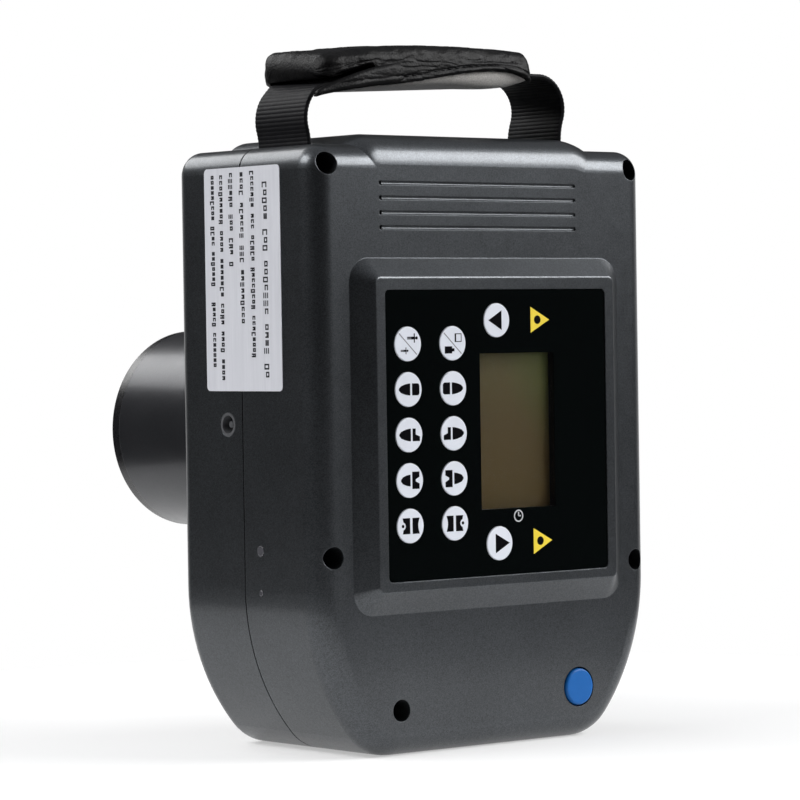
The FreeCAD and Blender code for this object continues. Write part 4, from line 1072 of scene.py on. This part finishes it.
def sleeve_section(x):
    """Outer and inner line of the sleeve at one station: front side, top and back side."""
    left = rounded(x - SLEEVE_ENDS[0], SLEEVE_ROUNDS[0])
    right = rounded(SLEEVE_ENDS[1] - x, SLEEVE_ROUNDS[1])
    bulb = 1 - smooth(x, *BULB_FADE)
    tilt = LEAN * (1 - smooth(x, *BULB_LEAN))
    ceiling = hem(x)
    joined = smooth(x, *BULB_JOIN)
    front_foot = ceiling * (1 - joined) + front_edge(x) * joined
    end_wall = 1 - smooth(x, *BULB_CLOSE)
    top = crest(x) - SLEEVE_DROP * (1 - right)
    middle = (top + ceiling) / 2 - BULB_SINK * end_wall
    narrow = SLEEVE_NARROWS[0] * (1 - left) + SLEEVE_NARROWS[1] * (1 - right)
    front, back = GRIP_Y[0] + narrow, GRIP_Y[1] - narrow
    plan = PLAN_LEAST + (1 - PLAN_LEAST) * rounded(x - SLEEVE_ENDS[0], PLAN_ROUND)

    def side_line(y, inward, foot):
        line = []
        for k in range(SIDE_STEPS):
            h = foot + (top - TOP_ROUND - foot) * k / SIDE_STEPS
            rise = h - foot
            below = max(0.0, BULB_TUCK - rise)
            tuck = bulb * (BULB_TUCK - math.sqrt(max(0.0, BULB_TUCK ** 2 - below ** 2)))
            belly = SIDE_BELLY * math.sin(math.pi * k / SIDE_STEPS) + hem_shape(rise, HEM_BEAD)
            line.append((y + inward * (tuck + SIDE_INSET + BULB_LAP * bulb - belly), h))
        return line

    def corner(y, inward):
        line = []
        for k in range(CORNER_STEPS):
            a = math.radians(90 * k / CORNER_STEPS)
            inset = SIDE_INSET + TOP_ROUND * (1 - math.cos(a))
            line.append((y + inward * inset, top - TOP_ROUND * (1 - math.sin(a))))
        return line

    front_line = side_line(front, 1, front_foot) + corner(front, 1)
    back_line = list(reversed(side_line(back, -1, BACK_FOOT) + corner(back, -1)))
    y0, y1 = front_line[-1][0], back_line[0][0]
    roof = []
    for k in range(1, TOP_STEPS):
        t = k / TOP_STEPS
        roof.append((y0 + (y1 - y0) * t, top + TOP_CROWN * math.sin(math.pi * t)))
    outer = front_line + roof + back_line
    inner = []
    for y, h in outer:
        inward = min(max(y, front + SHELL), back - SHELL)
        share = (y - front) / (back - front)
        closed = END_FOOT[0] + (END_FOOT[1] - END_FOOT[0]) * share
        inner.append((inward, min(h, ceiling * (1 - end_wall) + closed * end_wall)))
    outer_points, inner_points = [], []
    for (y, h), (yi, hi) in zip(outer, inner):
        lean = tilt * (y - GRIP_MIDDLE) / GRIP_HALF
        h = middle + (h - middle) * left
        y = GRIP_MIDDLE + (y - GRIP_MIDDLE) * plan
        hi = middle + (hi - middle) * left
        yi = GRIP_MIDDLE + (yi - GRIP_MIDDLE) * plan
        point = Vector((x, y, level(x) + h + lean))
        away = Vector((0, y - GRIP_MIDDLE, (h - middle) * 2)).normalized()
        outer_points.append(point + away * wrinkle(point, min(left, right)))
        inner_points.append(Vector((x, yi, level(x) + hi + lean * (1 if bulb > 0.5 else 0))))
    return outer_points, inner_points


def grip_sleeve():
    """Padded leather sleeve over the webbing, with a long front side and a shorter bulb at its left end."""
    outer, inner = [], []
    stations = 170
    for i in range(stations + 1):
        share = i / stations
        eased = 0.35 * (0.5 - 0.5 * math.cos(math.pi * share)) + 0.65 * share
        x = SLEEVE_ENDS[0] + 0.03 + (SLEEVE_ENDS[1] - SLEEVE_ENDS[0] - 0.06) * eased
        rows = sleeve_section(x)
        outer.append(rows[0])
        inner.append(rows[1])
    maker = bmesh.new()
    shell(maker, outer, inner)
    return new_piece("grip_sleeve", maker, FINISHES["grip"], None)


def sheet_piece(name, lines, thick, finish):
    """Sheet of even thickness whose edges thin out, from one row of points for each station along X."""
    outer, inner = [], []
    last = len(lines) - 1
    for i, line in enumerate(lines):
        end = 0.5 if i in (0, last) else 1.0
        rows = ([], [])
        for k, point in enumerate(line):
            ahead = line[min(k + 1, len(line) - 1)] - line[max(k - 1, 0)]
            normal = Vector((0, -ahead.z, ahead.y)).normalized()
            slim = end * (0.5 if k in (0, len(line) - 1) else 1.0)
            rows[0].append(point + normal * (thick / 2 * slim))
            rows[1].append(point - normal * (thick / 2 * slim))
        outer.append(rows[0])
        inner.append(rows[1])
    maker = bmesh.new()
    shell(maker, outer, inner)
    return new_piece(name, maker, finish, "handle")


def lower_lip():
    """Lower front side of the sleeve at its left, below the slit where the webbing runs in."""
    lines = []
    stations = 60
    for i in range(stations + 1):
        x = LIP_ENDS[0] + (LIP_ENDS[1] - LIP_ENDS[0]) * i / stations
        top, foot = lip_top(x), lip_foot(x)
        sunk = LIP_SINK * smooth(x, *LIP_SINKS)
        line = []
        for k in range(19):
            share = k / 18
            h = top + (foot - top) * share
            tuck = 1.1 * smooth(share, 0.75, 1.0) ** 2 + 0.9 * (1 - smooth(share, 0.0, 0.3)) ** 2
            y = GRIP_Y[0] - LIP_PROUD + sunk + tuck + LIP_INSET * (1 - smooth(x, LIP_ENDS[0], LIP_FLUSH_X))
            point = Vector((x, y, level(x) + h))
            point.y -= wrinkle(point, LIP_CREASE) + hem_shape(h - foot, LIP_BEAD)
            line.append(point)
        lines.append(line)
    sheet_piece("grip_lower_lip", lines, LIP_THICK, FINISHES["grip"])


def felt_line(x, pinch):
    """Lining's line at one station: down inside the front, under the webbing and up inside the back."""
    foot = felt_foot(x)
    start = (front_edge(x) if x > FELT_FROM_LIP_X else lip_foot(x)) + FELT_TUCK
    foot = start + (foot - start) * pinch
    line = []
    for k in range(14):
        a = math.radians(90 * k / 13)
        line.append((FELT_Y[0] - FELT_FRONT_R * math.cos(a), start + (foot - start) * math.sin(a)))
    for k in range(1, 15):
        share = k / 14
        h = foot + (FELT_BACK_H - foot) * smooth(share, 0.1, 1.0)
        line.append((FELT_Y[0] + (FELT_Y[1] - FELT_Y[0]) * share, h))
    for k in range(1, 8):
        a = math.radians(90 * k / 7)
        h = FELT_BACK_H + FELT_BACK_RISE[1] * (1 - math.cos(a))
        line.append((FELT_Y[1] + FELT_BACK_RISE[0] * math.sin(a), h))
    return [Vector((x, y, level(x) + h)) for y, h in line]


def felt_lining():
    """Felt lining as one piece, pinched together at its right end."""
    lines = []
    stations = 70
    for i in range(stations + 1):
        x = FELT_ENDS[0] + (FELT_ENDS[1] - FELT_ENDS[0]) * i / stations
        pinch = FELT_PINCH + (1 - FELT_PINCH) * rounded(FELT_ENDS[1] - x, FELT_PINCH_R)
        lines.append(felt_line(x, pinch))
    sheet_piece("grip_felt", lines, FELT_THICK, LINING)


STITCH_LENGTH = 1.9
STITCH_PITCH = 2.9
STITCH_R = 0.2


def stitches():
    """Thread along the sewn grooves of the sleeve's front and back sides."""
    maker = bmesh.new()
    rows = (
        (GRIP_Y[0] + 0.35, front_edge, (-22.0, 31.5), 2.0, -1),
        (GRIP_Y[1] - 0.35, lambda x: BACK_FOOT, (-24.0, 31.5), 2.0, 1),
        (GRIP_Y[0] - 0.45, lip_foot, (-42.0, -27.0), 1.9, -1),
    )
    for y, edge, (start, end), above, side in rows:
        count = int((end - start) / STITCH_PITCH)
        for i in range(count):
            x = start + STITCH_PITCH * (i + 0.5)
            z = level(x) + edge(x) + above
            bulge = 0.15 * side
            ball = bmesh.ops.create_uvsphere(maker, u_segments=8, v_segments=6, radius=1.0)["verts"]
            for vert in ball:
                vert.co = Vector((x + vert.co.x * STITCH_LENGTH / 2, y + bulge + vert.co.y * STITCH_R,
                                  z + vert.co.z * STITCH_R + vert.co.x * STITCH_LENGTH / 2 * GRIP_RISE))
    new_piece("grip_stitches", maker, FINISHES["webbing"], "handle")


sleeve = grip_sleeve()
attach(sleeve, "handle")
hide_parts("handle_grip")
lower_lip()
felt_lining()
stitches()
